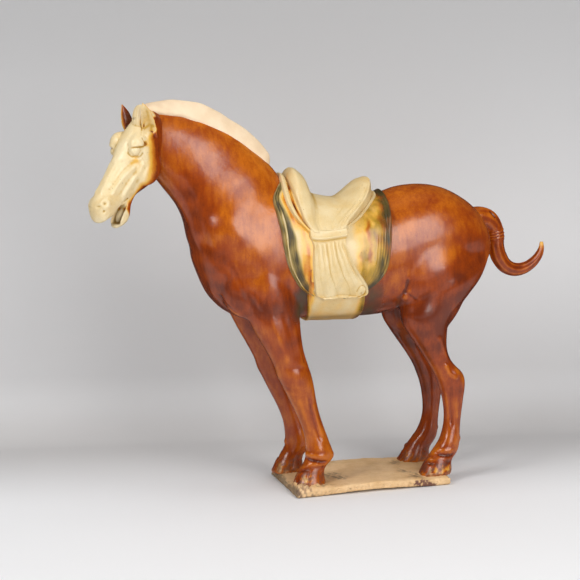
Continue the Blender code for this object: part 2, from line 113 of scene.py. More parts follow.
# 0 before the start and 1 after the end, with 3 t^2 - 2 t^3 between
def softStep(value, start, end):
    t = np.clip((value - start) / (end - start), 0, 1)
    return t * t * (3 - 2 * t)


# 1 less the soft step: 1 before the start and 0 after the end
def fade(value, start, end):
    return 1 - softStep(value, start, end)


# e to the minus of the distance from the centre, in widths, raised to a power
def bell(value, centre, width, square=2):
    return np.exp(-np.abs((value - centre) / width) ** square)


# a soft ball: e to the minus of the squared distance from the centre, measured in its radii
def spot(points, centre, radii):
    return np.exp(-(((points - centre) / radii) ** 2).sum(1))


# the sum of the spots in a list
def spots(points, rows):
    return sum(spot(points, centre, radii) for centre, radii in rows)


# an even, seeded unevenness: a sum of waves in random directions, about -1 to 1
def ripple(points, size, seed, waves=9):
    draw = np.random.default_rng(seed)
    way = draw.normal(size=(waves, 3))
    way *= (draw.uniform(0.6, 1.5, waves) / size * 2 * np.pi / np.linalg.norm(way, axis=1))[:, None]
    start = draw.uniform(0, 2 * np.pi, waves)
    return np.sin(points @ way.T + start).sum(-1) / np.sqrt(waves) * 0.8


# ripples summed, each with its height, size and seed
def ripples(points, rows):
    return sum(height * ripple(points, size, seed) for height, size, seed in rows)


# a closed skin of (rows, points) with a point in the middle of each end
def skinArrays(rings):
    rows, around, _ = rings.shape
    points = np.concatenate([rings.reshape(-1, 3), [rings[0].mean(0), rings[-1].mean(0)]])
    grid = np.arange(rows * around).reshape(rows, around)
    turned = np.roll(grid, -1, axis=1)
    quads = np.stack([grid[:-1], turned[:-1], turned[1:], grid[1:]], -1).reshape(-1, 4)
    first = np.stack([turned[0], grid[0], np.full(around, rows * around)], -1)
    last = np.stack([grid[-1], turned[-1], np.full(around, rows * around + 1)], -1)
    return points, quads, np.concatenate([first, last])


# the sum of the signed tents from the origin to each triangle
def volumeOf(points, quads, tris):
    faces = np.concatenate([quads[:, :3], quads[:, [0, 2, 3]], tris])
    a, b, c = (points[faces[:, i]] for i in range(3))
    return (a * np.cross(b, c)).sum() / 6


# one mesh object of closed skins, each turned so that its faces point out
def objectFrom(name, parts):
    allPoints, allQuads, allTris, start = [], [], [], 0
    for points, quads, tris in parts:
        if volumeOf(points, quads, tris) < 0:
            quads, tris = quads[:, ::-1], tris[:, ::-1]
        allPoints.append(points)
        allQuads.append(quads + start)
        allTris.append(tris + start)
        start += len(points)
    points, quads, tris = (np.concatenate(a) for a in (allPoints, allQuads, allTris))
    mesh = bpy.data.meshes.new(name)
    mesh.vertices.add(len(points))
    mesh.vertices.foreach_set("co", points.astype(np.float32).ravel())
    corners = np.concatenate([quads.ravel(), tris.ravel()]).astype(np.int32)
    sizes = np.concatenate([np.full(len(quads), 4), np.full(len(tris), 3)]).astype(np.int32)
    mesh.loops.add(len(corners))
    mesh.loops.foreach_set("vertex_index", corners)
    mesh.polygons.add(len(sizes))
    starts = np.concatenate([[0], np.cumsum(sizes)[:-1]])
    mesh.polygons.foreach_set("loop_start", starts.astype(np.int32))
    mesh.update(calc_edges=True)
    mesh.validate()
    made = bpy.data.objects.new(name, mesh)
    bpy.context.scene.collection.objects.link(made)
    return made


# superellipse sections along a straight line: each row is the distance along it, the upper
# and the lower edge, the half width, the squareness, and how much wider it is below
def loftSkin(rows, start, along, upward, sideways, count, around=64):
    table = throughRows(rows, count)
    s, top, bottom, half, square, egg = (table[:, i, None, None] for i in range(6))
    angle = np.linspace(0, 2 * np.pi, around, endpoint=False)[None, :, None]
    rise = superWave(np.cos(angle), square)
    swing = superWave(np.sin(angle), square) * (1 - egg * rise)
    start, along, upward, sideways = (np.array(v, float) for v in (start, along, upward, sideways))
    return skinArrays(start + s * along + ((top + bottom) / 2 + (top - bottom) / 2 * rise) * upward
                      + half * swing * sideways)


# a line from (x, z) at a slope in degrees, with the ways up from it and sideways
def slanted(start, slope):
    turn = np.radians(slope)
    along = (np.cos(turn), 0, np.sin(turn))
    upward = (-np.sin(turn), 0, np.cos(turn))
    return (start[0], 0, start[1]), along, upward, (0, 1, 0)


# a ball with radii along three directions, as rings from pole to pole
def ballSkin(centre, radii, axes=np.eye(3), rows=24, around=36):
    fall = np.linspace(0.02, np.pi - 0.02, rows)[:, None]
    turn = np.linspace(0, 2 * np.pi, around, endpoint=False)[None, :]
    unit = np.stack([np.sin(fall) * np.cos(turn), np.sin(fall) * np.sin(turn),
                     np.cos(fall) + 0 * turn], -1)
    return skinArrays(np.array(centre, float) + (unit * radii) @ np.array(axes, float))


# a skin with its points changed by a function
def moved(skin, change):
    points, quads, tris = skin
    return change(points), quads, tris


# the same points on the other side: y times -1
def mirrored(points):
    return points * [1, -1, 1]


# every point taken to the side where the distance out is positive
def folded(points):
    return points * [1, 0, 1] + np.abs(points) * [0, 1, 0]


# the mesh as its modifiers leave it, with none of them live
def applied(made):
    bpy.context.view_layer.update()
    evaluated = made.evaluated_get(bpy.context.evaluated_depsgraph_get())
    data = bpy.data.meshes.new_from_object(evaluated)
    made.modifiers.clear()
    made.data = data
    return made


# melts overlapping skins into one and rubs the joints soft, as wet clay is smoothed
def melted(made, voxel, passes):
    melt = made.modifiers.new("melt", "REMESH")
    melt.mode = "VOXEL"
    melt.voxel_size = voxel
    rub = made.modifiers.new("rub", "SMOOTH")
    rub.factor = 0.5
    rub.iterations = passes
    return applied(made)


# a face of n corners makes n - 2 triangles
def trianglesOf(made):
    return sum(len(p.vertices) - 2 for p in made.data.polygons)


# edges are joined until at most so many triangles are left
def thinned(made, most):
    count = trianglesOf(made)
    if count > most:
        made.modifiers.new("thin", "DECIMATE").ratio = most / count
        applied(made)
    return made


# a mesh's points, one row for each
def pointsOf(made):
    co = np.empty(len(made.data.vertices) * 3, np.float32)
    made.data.vertices.foreach_get("co", co)
    return co.reshape(-1, 3).astype(float)


# puts changed points back
def setPoints(made, points):
    made.data.vertices.foreach_set("co", points.astype(np.float32).ravel())
    made.data.update()


# the way out of the skin at each point
def normalsOf(made):
    normal = np.empty(len(made.data.vertices) * 3, np.float32)
    made.data.vertex_normals.foreach_get("vector", normal)
    return normal.reshape(-1, 3).astype(float)


# the two points that each edge joins
def edgesOf(made):
    ends = np.empty(len(made.data.edges) * 2, np.int32)
    made.data.edges.foreach_get("vertices", ends)
    return ends.reshape(-1, 2)


# the mean of each vertex's neighbours
def neighbourMean(values, ends, count):
    total = np.zeros((count, values.shape[1]))
    for near, far in ((0, 1), (1, 0)):
        for i in range(values.shape[1]):
            total[:, i] += np.bincount(ends[:, near], values[ends[:, far], i], count)
    many = np.bincount(ends.ravel(), minlength=count)[:, None]
    return total / np.maximum(many, 1)


# how hollow the clay is at each vertex, about -1 on a ridge to 1 in a groove: the height
# of the neighbourhood's mean over the vertex, after spreading it over about reach rings
def hollowOf(made, reach=6, gain=1.0):
    co, normal, ends = pointsOf(made), normalsOf(made), edgesOf(made)
    spread = co
    for _ in range(reach):
        spread = neighbourMean(spread, ends, len(co))
    depth = ((spread - co) * normal).sum(1)[:, None]
    for _ in range(2):
        depth = neighbourMean(depth, ends, len(co))
    return np.clip(depth[:, 0] * gain, -1, 1)


# a value for each vertex, which the glaze reads by its name
def setMask(made, name, values):
    layer = made.data.attributes.new(name, "FLOAT", "POINT")
    layer.data.foreach_set("value", np.clip(values, -4, 4).astype(np.float32))


# moves each vertex along its normal by a depth worked out from its place and normal
def carve(made, depthOf):
    co, normal = pointsOf(made), normalsOf(made)
    setPoints(made, co + normal * depthOf(co, normal)[:, None])


# distance of points to a path given by a few points, and the share of the way along it
def nearPath(points, path):
    path = np.array(path, float)
    run = np.concatenate([[0], np.cumsum(np.linalg.norm(np.diff(path, axis=0), axis=1))])
    best = np.full(len(points), 1e9)
    share = np.zeros(len(points))
    for i in range(len(path) - 1):
        step = path[i + 1] - path[i]
        t = np.clip(((points - path[i]) @ step) / (step @ step), 0, 1)
        far = np.linalg.norm(points - path[i] - t[:, None] * step, axis=1)
        closer = far < best
        best = np.where(closer, far, best)
        share = np.where(closer, (run[i] + t * (run[i + 1] - run[i])) / run[-1], share)
    return best, share


# a smooth path through a few points, read by its own length
def smoothPath(points, count):
    points = np.array(points, float)
    run = np.concatenate([[0], np.cumsum(np.linalg.norm(np.diff(points, axis=0), axis=1))])
    return throughRows(np.column_stack([run, points]), count)[:, 1:]


# a groove (negative depth) or ridge: a bell of the distance to a path, running out at its ends
def crease(points, path, width, depth, out=0.15, count=24):
    far, share = nearPath(points, smoothPath(path, count))
    ends = softStep(share, 0, out) * fade(share, 1 - out, 1)
    return depth * np.exp(-(far / width) ** 2) * ends


print("tools ready")

# trunk: x, back line, belly line, half width, squareness, egg
trunkRows = [
    (-223, 344, 320, 12, 2.0, 0.0), (-214, 372, 296, 32, 2.0, 0.0),
    (-205, 390, 275, 43, 2.1, 0.0), (-192, 402, 258, 51, 2.2, 0.0),
    (-172, 412, 243, 57, 2.2, 0.0), (-150, 420, 235, 61, 2.1, 0.05),
    (-125, 427, 232, 64, 2.0, 0.08), (-100, 423, 233, 66, 2.0, 0.08),
    (-85, 412, 233, 67, 2.0, 0.06), (-70, 400, 232.5, 68, 2.0, 0.05),
    (-40, 389.5, 231.5, 69, 2.1, 0.02), (-10, 388, 231, 69, 2.1, 0.0),
    (20, 393, 231.5, 68, 2.1, 0.0), (47, 402, 234, 66.5, 2.1, 0.0),
    (70, 408, 240, 66, 2.1, 0.0),
    (95, 410, 254, 65.5, 2.1, 0.0), (126, 405, 268, 64, 2.1, 0.0),
    (150, 394, 278, 60, 2.1, 0.0), (170, 380, 284, 53, 2.1, 0.0),
    (184, 364, 290, 43, 2.0, 0.0), (194, 343, 300, 27, 2.0, 0.0),
    (198, 327, 313, 10, 2.0, 0.0),
]
neckLine = {"start": (-262, 466), "slope": -45.9}
neckRows = [
    (-46, 30, 4, 10, 2.0, 0.0), (-32, 44, -14, 17, 2.0, 0.1),
    (-15, 55, -24, 22, 2.1, 0.15), (12, 70, -29.5, 26, 2.3, 0.2),
    (40, 80, -32.5, 30, 2.35, 0.22), (71, 86, -37, 36, 2.35, 0.22),
    (90, 88, -45, 41, 2.3, 0.2), (110, 90, -58.5, 46, 2.2, 0.15),
    (126, 90, -66, 50, 2.0, 0.1), (146, 86, -72, 53, 2.0, 0.05),
    (170, 76, -74, 54, 2.0, 0.0), (195, 60, -68, 48, 2.0, 0.0),
]
# legs: height, front edge, rear edge, distance out, half width, squareness
forelegRows = [
    (305, -160, -106, 36, 26.5, 2.0), (265, -163, -88, 39.5, 26.3, 2.0),
    (240, -158, -87, 41, 25, 2.0), (221, -149, -86.5, 42, 23.5, 2.0),
    (195, -135, -83.5, 42.5, 20.5, 2.1), (175, -125, -78, 42.5, 18.5, 2.2),
    (160, -119.5, -73.5, 42.5, 18, 2.3), (145, -113, -70.5, 42.5, 17.5, 2.4),
    (130, -106, -68.5, 42.5, 16, 2.3), (115, -99, -65.5, 42.5, 13.5, 2.1),
    (100, -92.5, -61.5, 42.5, 12.2, 2.1), (84, -87, -56, 42.5, 12, 2.1),
    (68, -84.5, -50.5, 42.5, 13.5, 2.1), (53, -84.5, -46, 43, 15.5, 2.1),
    (44, -86.5, -46.5, 43, 15.5, 2.1), (35, -92, -57, 43.5, 14.2, 2.1),
    (27, -98, -60, 43.5, 17.5, 2.1), (18, -101.5, -58.5, 44, 20, 2.2),
    (9, -105, -57, 44, 21.5, 2.3),
]
hindLegRows = [
    (312, 90, 190, 32, 24, 2.0), (276, 68, 170, 38.5, 31, 2.0),
    (250, 57, 147, 40, 29.5, 2.0), (232, 54.5, 129, 42, 27.5, 2.0),
    (220, 57, 122, 43, 24.5, 2.0), (205, 66, 120.2, 43, 22, 2.0),
    (185, 79.5, 119.5, 42.5, 18.5, 2.0), (166, 92, 126.5, 42, 16, 2.1),
    (150, 101, 140.5, 42, 15.5, 2.2), (140, 105, 145.5, 42, 15.5, 2.3),
    (130, 108.5, 145.5, 42, 15, 2.2), (115, 112, 143.5, 42, 13, 2.1),
    (100, 113.8, 141.5, 42, 11.8, 2.1), (84, 114, 139, 42, 11.5, 2.1),
    (68, 111, 137, 42.5, 13, 2.1), (54, 105, 136, 43, 15, 2.1),
    (45, 97, 135, 43.5, 15, 2.1), (35, 89, 129, 44, 14.5, 2.1),
    (28, 84, 122.5, 44, 16.5, 2.1), (19, 79.5, 123.5, 44.5, 19.5, 2.2),
    (9, 74, 121.5, 44.5, 21, 2.3),
]
body = {
    "rightForeStep": -7.0,    # the right foreleg stands this far ahead
    "voxel": 1.6,
    "passes": 78,
    "triangles": 172000,
    "uneven": [(0.32, 62, 3), (0.07, 21, 4), (0.03, 6, 5)],    # height, size, seed
    "hollow": (7, 1.7),       # rings that the hollow mask reads over, and its gain
    # centre x, distance out, height, radii along x, y, z, tilt in degrees
    "muscles": [
        (-166, 30, 336, 42, 27, 66, -28), (-150, 38, 280, 42, 22, 42, 25),
        (-184, 18, 296, 24, 22, 36, 0), (118, 30, 330, 60, 32, 62, 20),
        (84, 38, 264, 34, 22, 38, -30), (102, 48, 290, 56, 21, 60, 15),
        (110, 32, 276, 46, 34, 84, 18),
    ],
}


# a leg is a loft that runs down; its middle line bows outwards by the row's distance out
def legSkin(rows, side, step):
    rows = [(-z, rear + step, front + step, half, square, 0.0, out)
            for z, front, rear, out, half, square in rows]
    table = throughRows(rows, 110)
    skin = loftSkin(table[:, :6], (0, 0, 0), (0, 0, -1), (1, 0, 0), (0, 1, 0), 110, 48)
    points, quads, tris = skin
    points[:, 1] += side * np.interp(-points[:, 2], table[:, 0], table[:, 6])
    return points, quads, tris


# the matrix that turns about y
def rotationY(degrees):
    turn = np.radians(degrees)
    return np.array([[np.cos(turn), 0, -np.sin(turn)], [0, 1, 0], [np.sin(turn), 0, np.cos(turn)]])


# trunk, neck, legs and muscles, melted together and rubbed smooth
def makeBody():
    parts = [loftSkin(trunkRows, (0, 0, 0), (1, 0, 0), (0, 0, 1), (0, 1, 0), 120, 96),
             loftSkin(neckRows, *slanted(neckLine["start"], neckLine["slope"]), 70, 72)]
    for side, step in ((-1, 0.0), (1, body["rightForeStep"])):
        parts.append(legSkin(forelegRows, side, step))
        parts.append(legSkin(hindLegRows, side, 0.0))
        for x, out, z, alongX, alongY, alongZ, tilt in body["muscles"]:
            parts.append(ballSkin((x, side * out, z), (alongX, alongY, alongZ), rotationY(tilt)))
    return melted(objectFrom("horse_body", parts), body["voxel"], body["passes"])


horseBody = makeBody()
print("body", len(horseBody.data.polygons), "faces")

# Marks on the left side, each a path with its width and its depth: minus is a groove, plus
# a ridge. The right side has the same ones, and its foreleg stands a step ahead.
bodyMarks = {
    "foreleg": [
        ([(-134, -62, 250), (-126, -65, 226), (-116, -63, 199), (-107, -60, 176)], 4.5, 1.0),
        ([(-116, -64, 250), (-110, -64, 232), (-101, -62, 203), (-94, -60, 178)], 5.0, -1.0),
        ([(-96, -60, 240), (-88, -57, 205), (-84, -54, 172)], 3.0, -1.4),
        ([(-120, -50, 178), (-110, -57, 174), (-94, -58, 172), (-82, -52, 168)], 3.0, -0.9),
        ([(-116, -48, 146), (-106, -55, 143), (-90, -57, 141), (-78, -52, 140)], 3.0, -0.8),
        ([(-83, -57, 140), (-77, -56, 112), (-71, -55, 88), (-64, -55, 68)], 2.3, -1.5),
        ([(-76, -55, 124), (-69, -54, 98), (-61, -54, 76)], 2.6, 1.1),
        ([(-96, -55, 134), (-87, -54, 108), (-80, -54, 80)], 3.4, 0.9),
        ([(-88, -34, 48), (-86, -48, 48), (-75, -57, 45), (-63, -57, 43), (-54, -50, 45)], 1.8, -2.6),
        ([(-86, -36, 54), (-80, -52, 53), (-68, -58, 51), (-57, -54, 51)], 2.6, 1.1),
        ([(-98, -34, 30), (-95, -47, 32), (-84, -58, 35), (-70, -60, 36), (-58, -52, 35)], 1.7, -2.6),
        ([(-95, -32, 36), (-92, -48, 38), (-81, -57, 41), (-67, -58, 41)], 2.3, 1.7),
        ([(-104, -38, 12), (-99, -58, 12), (-84, -66, 12), (-68, -64, 12)], 4.5, 1.3),
        ([(-83, -57, 35), (-86, -61, 24), (-90, -62, 13)], 1.3, -1.0),
        ([(-97, -48, 27), (-99, -52, 19), (-101, -54, 12)], 1.2, -0.7),
    ],
    "hindLeg": [
        ([(84, -66, 214), (96, -61, 192), (108, -58, 172)], 6.0, -0.9),
        ([(100, -62, 206), (110, -59, 184), (122, -57, 166)], 4.0, 1.2),
        ([(112, -57, 166), (119, -58, 150), (131, -57, 141)], 2.6, 1.6),
        ([(110, -56, 160), (113, -56, 146), (120, -56, 134)], 2.6, -0.7),
        ([(122, -55, 137), (120, -53, 118), (121, -52, 96), (122, -52, 72)], 2.3, -1.4),
        ([(130, -54, 130), (129, -52, 108), (130, -52, 84)], 2.6, 0.9),
        ([(113, -52, 128), (113, -51, 104), (113, -51, 82)], 2.4, 0.8),
        ([(93, -48, 45), (98, -55, 41), (107, -58, 38), (119, -56, 37), (128, -50, 41)], 1.8, -2.6),
        ([(96, -46, 51), (102, -55, 47), (112, -58, 44), (124, -55, 45)], 2.6, 1.3),
        ([(85, -44, 25), (90, -57, 28), (100, -62, 30), (113, -61, 29), (121, -53, 28)], 1.6, -2.4),
        ([(88, -44, 31), (93, -56, 34), (102, -61, 35), (114, -60, 34)], 2.2, 1.5),
        ([(75, -44, 12), (84, -62, 12), (98, -67, 12), (112, -64, 12)], 4.5, 1.3),
        ([(96, -62, 27), (91, -63, 19), (84, -62, 12)], 1.3, -1.0),
    ],
    "trunk": [
        ([(-183, -52, 322), (-172, -56, 296), (-158, -59, 268), (-140, -62, 238)], 6.0, -1.3),
        ([(-240, -24, 436), (-229, -29, 402), (-217, -35, 368), (-206, -43, 326)], 8.0, -1.7),
        ([(-248, -12, 424), (-238, -16, 392), (-226, -22, 358), (-216, -28, 326)], 6.0, 1.0),
        ([(-204, -14, 300), (-196, -26, 280), (-184, -40, 262), (-172, -48, 246)], 3.0, -1.6),
        ([(-200, 0, 300), (-196, 0, 276), (-184, 0, 252)], 4.0, -1.6),
        ([(44, -48, 246), (50, -52, 256), (56, -58, 268), (60, -63, 286)], 2.2, -1.8),
        ([(52, -56, 268), (62, -59, 262), (72, -62, 254)], 1.5, -1.1),
        ([(50, -54, 256), (58, -57, 262), (66, -62, 272)], 1.5, 0.8),
    ],
}
# bumps on the left side: centre, radius and height
bodyBumps = [
    ((-100, -60, 160), 11, 1.6), ((-116, -46, 162), 9, 1.2), ((-68, -56, 61), 8, 1.0),
    ((-50, -44, 50), 4.4, 2.4), ((130, -57, 152), 7.5, 1.8), ((145, -42, 151), 8, 1.6),
    ((135, -44, 57), 4.4, 2.0), ((112, -58, 60), 8, 1.0), ((56, -55, 257), 4.5, 2.6),
    ((-188, -40, 306), 22, 2.0), ((-174, -54, 366), 30, 4.0), ((-122, -63, 364), 26, -2.4),
    ((106, -66, 288), 26, 2.2), ((102, -64, 238), 25, -2.0), ((-128, -64, 296), 24, 1.6),
    ((-126, -62, 248), 22, -1.4),
]


# the depth at each point is the sum of the marks' bells over the distance to their paths,
# plus three sizes of unevenness left by hand work
def bodyDepth(points, normal):
    depth = ripples(points, body["uneven"])
    depth *= 1 - 0.35 * softStep(points[:, 2], 265, 215)    # the legs are smoother
    for side in (-1, 1):
        near = points[:, 1] * side > 2
        for part, marks in bodyMarks.items():
            step = body["rightForeStep"] if part == "foreleg" and side > 0 else 0.0
            for path, width, height in marks:
                path = np.array(path, float) * [1, -side, 1] + [step, 0, 0]
                low, high = path.min(0) - 4 * width, path.max(0) + 4 * width
                here = near & ((points > low) & (points < high)).all(1)
                depth[here] += crease(points[here], path, width, height)
        for (x, y, z), radius, height in bodyBumps:
            step = body["rightForeStep"] if side > 0 and z < 200 and x < 0 else 0.0
            far = np.linalg.norm(points - [x + step, -side * y, z], axis=1)
            depth += height * np.exp(-(far / radius) ** 2)
    return depth


carve(horseBody, bodyDepth)
setMask(horseBody, "hollow", hollowOf(horseBody, *body["hollow"]))
thinned(horseBody, body["triangles"])
print("body carved", len(horseBody.data.polygons), "faces")

# The head is drawn in its own frame: s down the face from the poll, out to its left, and
# u up out of the face. headPoint turns (s, out, u) into the figure's frame.
head = {
    "turn": 28.0,             # degrees that it looks to its left
    "pivotX": -262.0,
    "start": (10, 498),
    "slope": -55.2,
    "markOut": 0.25,          # how much a mark minds the distance out
    "roughVoxel": 0.9, "roughPasses": 36,
    "fineVoxel": 0.76, "finePasses": 3,
    "uneven": [(0.16, 14, 11), (0.06, 5, 12)], "hollow": (8, 3.0),
    # distance from the poll, face line, jaw line, half width, squareness, egg
    "skull": [
        (-14, 15, -8, 11, 2.0, 0.0), (-6, 23, -18, 17, 2.0, 0.0),
        (8, 25.5, -27, 21, 2.1, 0.0), (24, 27.5, -31, 24, 2.2, 0.0),
        (40, 29, -34, 26, 2.2, 0.0), (55, 27.5, -37, 25.5, 2.2, 0.05),
        (70, 26.2, -35, 22, 2.2, 0.12), (85, 26, -28, 18, 2.2, 0.15),
        (98, 25.5, -22, 16, 2.2, 0.12), (110, 25, -16, 15.5, 2.2, 0.1),
        (122, 24.8, -9, 17, 2.2, 0.1), (134, 24, -6.5, 18, 2.2, 0.05),
        (143, 19, -3.0, 17, 2.1, 0.0), (149.5, 12, 0, 13, 2.0, 0.0),
        (153.5, 7, 3, 5, 2.0, 0.0),
    ],
    "jaw": [
        (78, -8, -28, 13, 2.0, 0.0), (96, -10, -23.5, 12, 2.0, 0.0),
        (110, -10.5, -25, 11.5, 2.1, 0.0), (122, -10.5, -30.5, 12, 2.3, 0.0),
        (132, -12, -30, 12.5, 2.3, 0.0), (140, -14, -26.5, 10.5, 2.1, 0.0),
        (145, -18, -22.5, 4, 2.0, 0.0),
    ],
    "cup": {"from": 112, "to": 143, "half": 10.8, "deep": 10.5},    # the hollow of the lower lip
    "bumps": [
        ((41, 14.5, 15.5), (17, 11.0, 10.8)),   # brow
        ((58, 17.5, -15), (24, 10, 19)),      # cheek
        ((131, 12, 12.5), (13, 8, 9.5)),      # wing of the nostril
        ((23, 18.5, 8), (8.5, 6.5, 9)),       # temple
    ],
    "farBrow": ((40, -17.5, 18.5), (15.5, 13, 13.5)),    # the right brow stands higher
    "tongue": ((126, 0, -20), (11, 5.0, 4.2)),
    "eye": (51.5, 19.8, 17.2), "eyeRadii": (8.4, 7.6, 6.9),
    # the tuft of mane between the ears, as (ahead, out, height)
    "forelock": {"centre": (31.5, 6.0, 507.5), "radii": (9.5, 11.0, 16.5), "lean": 12, "strands": 7},
}


# (s, out, u) falls along the face's slope from the poll and turns about an upright axis
def headPoint(points):
    turn, fall = np.radians(head["turn"]), np.radians(head["slope"])
    s, out, u = points[..., 0], points[..., 1], points[..., 2]
    ahead = head["start"][0] + np.cos(fall) * s - np.sin(fall) * u
    z = head["start"][1] + np.sin(fall) * s + np.cos(fall) * u
    return np.stack([head["pivotX"] - np.cos(turn) * ahead + np.sin(turn) * out,
                     -np.sin(turn) * ahead - np.cos(turn) * out, z], -1)


# (ahead, out, height) in the turned head's level frame, as (s, out, u)
def skullPoint(points):
    points = np.array(points, float)
    fall = np.radians(head["slope"])
    ahead, z = points[..., 0] - head["start"][0], points[..., 2] - head["start"][1]
    return np.stack([np.cos(fall) * ahead + np.sin(fall) * z, points[..., 1],
                     -np.sin(fall) * ahead + np.cos(fall) * z], -1)


# marks on the left of the face, in (s, out, u): path, width, depth
headMarks = [
    ([(55.5, 20, 26), (52.5, 22.5, 24.5), (49.5, 24.5, 21), (46, 26.5, 16), (42, 26, 11),
      (38, 25, 8.8)], 0.9, -2.0),
    ([(53, 20, 28), (49.5, 22.5, 27), (46, 25, 22.5), (42.5, 27, 16.5), (39, 27, 11)], 1.6, 0.7),
    ([(56.5, 20.5, 25), (59, 23, 20), (59.5, 24.5, 16), (58, 25.5, 11), (54, 25.5, 7.5),
      (47, 25, 7)], 1.2, -1.1),
    ([(61, 21, 24), (63, 23, 19), (63, 24, 13), (60, 24.5, 8), (54, 25, 3)], 2.2, 0.5),
    ([(31.5, 25.8, 18), (33.5, 26.1, 15.5), (35.3, 25.4, 10.5), (36, 24.6, 7.5)], 1.2, -2.4),
    ([(17.4, 18, 20), (23, 21, 20), (27, 22.8, 19.4), (31.5, 25.8, 18)], 0.9, -0.9),
    ([(62, 21.6, 9), (74, 17, 14), (95, 13, 17), (117, 12, 19)], 3.2, -1.1),
    ([(66, 21, 5), (76, 18.6, 8), (95, 15.2, 11.5), (118, 15, 13)], 3.0, 1.3),
    ([(70, 21, -1), (80, 18.8, 1), (102, 15.3, 3.5), (121, 16, 6)], 3.4, -0.7),
    ([(54, 25, 0), (76, 18.6, -3), (98, 16, -3), (117, 14, -4)], 3.2, 1.1),
    ([(60, 25, -4), (78, 20.5, -9), (97, 15.5, -12)], 4.0, -0.8),
    ([(72, 9.5, 24.5), (92, 8, 24.5), (112, 8, 24.4), (124, 10, 23)], 3.4, 1.0),
    ([(66, 15, 21), (84, 11.5, 21), (104, 10.5, 21.5)], 2.6, -0.8),
    ([(137, 10, 21.5), (139, 13, 18.5), (141.5, 16, 14.5), (142, 16.5, 11.5)], 1.7, -1.1),
    ([(124, 15.5, 18), (125, 18, 13), (130, 19.5, 9.5)], 2.2, -0.7),
    ([(116, 15, -4), (124, 17, -4.5), (134, 17.5, -3.6), (144, 14, -0.5)], 2.0, 0.8),
    ([(104, 12, -12.5), (112, 13, -10), (119, 14, -8.3), (124, 14, -8)], 1.4, -1.4),
    ([(8, 9.5, 24), (12, 13, 22.5), (16, 17.5, 20.6)], 1.2, -1.2),
    ([(139, 12, 8), (144, 12, 8), (149, 8, 9)], 2.4, -0.5),
]
# pits: centre, radii in s, out, u, and depth
headPits = [
    ((36, 26, 9.3), (2.4, 5, 2.2), -3.0),
    ((132.5, 17, 18.4), (2.6, 7, 2.0), -2.2),
    ((141.3, 16, 13), (2.2, 6, 1.7), -1.0),
    ((40, 23, 26), (7, 6, 5), 1.0),
    ((49, 14, 27), (4, 5, 4), -0.7),
]

ear = {
    # centre line from root to tip, in (ahead, out, height)
    "line": [(24, 16.5, 480), (27, 18.5, 489), (31, 20.5, 500), (34.5, 22, 512), (39.6, 22.5, 525.6)],
    "half": [8.5, 9.2, 9.0, 6.6, 0.7],
    "back": [7.6, 7.6, 6.8, 4.6, 0.9],
    "wall": 2.3,
    "opens": {-1: (-0.05, 1.0), 1: (0.42, 0.90)},    # ahead, out, of the right and the left ear
}


# The ear is a crescent carried up its line: an outer arc behind, and an inner arc that
# follows it a wall's thickness away, deepest near the rear rim.
def earSkin(side, rows=60, around=72):
    path = smoothPath(ear["line"], rows) * [1, side, 1]
    share = np.linspace(0, 1, len(ear["half"]))
    along = np.linspace(0, 1, rows)
    half, back = (np.interp(along, share, ear[key])[:, None, None] for key in ("half", "back"))
    ahead = np.gradient(path, axis=0)
    ahead /= np.linalg.norm(ahead, axis=1)[:, None]
    way = np.array([ear["opens"][side][0], side * ear["opens"][side][1], 0])
    opens = way - ahead * (ahead @ way)[:, None]
    opens /= np.linalg.norm(opens, axis=1)[:, None]
    broad = np.cross(ahead, opens) * -side
    turn = np.linspace(0, 2 * np.pi, around, endpoint=False)[None, :, None]
    reach = np.cos(turn)
    bow = np.abs(np.sin(turn))
    hollow = softStep(along, 0.16, 0.34)[:, None, None]
    skewed = np.clip(1 - np.abs((reach + 0.25) / (1 + 0.25 * np.sign(reach + 0.25))) ** 1.7, 0, 1)
    inner = -np.maximum(back - ear["wall"], 0) * skewed * hollow + back * 0.25 * (1 - hollow) * bow
    depth = np.where(np.sin(turn) >= 0, -back * bow ** 0.9, inner)
    rings = path[:, None] + half * reach * broad[:, None] + (depth + back * 0.45) * opens[:, None]
    return skinArrays(skullPoint(rings))


# an upright tuft: a squarish ball with strands combed down it, leaning back
def forelockSkin():
    tuft = head["forelock"]
    fall = np.linspace(0.03, np.pi - 0.03, 60)[:, None]
    turn = np.linspace(0, 2 * np.pi, 120, endpoint=False)[None, :]
    strands = 1 + 0.035 * np.cos(turn * tuft["strands"] * 2) * np.sin(fall)
    wide = superWave(np.sin(fall), 2.8) * strands
    unit = np.stack([wide * superWave(np.cos(turn), 2.3), wide * superWave(np.sin(turn), 2.3),
                     superWave(np.cos(fall), 2.8) + 0 * turn], -1)
    return skinArrays(skullPoint(tuft["centre"] + (unit * tuft["radii"]) @ rotationY(tuft["lean"]).T))


# the lower lip is hollowed like a spoon: its upper side sinks by a bell of the width
def jawSkin():
    points, quads, tris = loftSkin(head["jaw"], (0, 0, 0), (1, 0, 0), (0, 0, 1), (0, 1, 0), 90, 90)
    cup = head["cup"]
    inside = softStep(points[:, 0], cup["from"], cup["from"] + 7)
    inside *= softStep(points[:, 0], cup["to"], cup["to"] - 6)
    across = np.clip(1 - (points[:, 1] / cup["half"]) ** 4, 0, 1)
    upper = points[:, 2] > -19.5
    points[:, 2] -= np.where(upper, cup["deep"] * inside * across, 0)
    return points, quads, tris


# a depth for both sides, worked out for the left one
def bothSides(depthOf):
    return lambda points, normal: depthOf(folded(points), normal)


# the face is the same on both sides, so the marks read the distance out as positive
def headDepth(points, normal):
    depth = 0.0
    flat = [1, head["markOut"], 1]
    for path, width, height in headMarks:
        depth = depth + crease(points * flat, np.array(path, float) * flat, width, height, 0.12)
    for centre, radii, height in headPits:
        depth = depth + height * spot(points, centre, radii)
    return depth * softStep(points[:, 1], 2, 6)


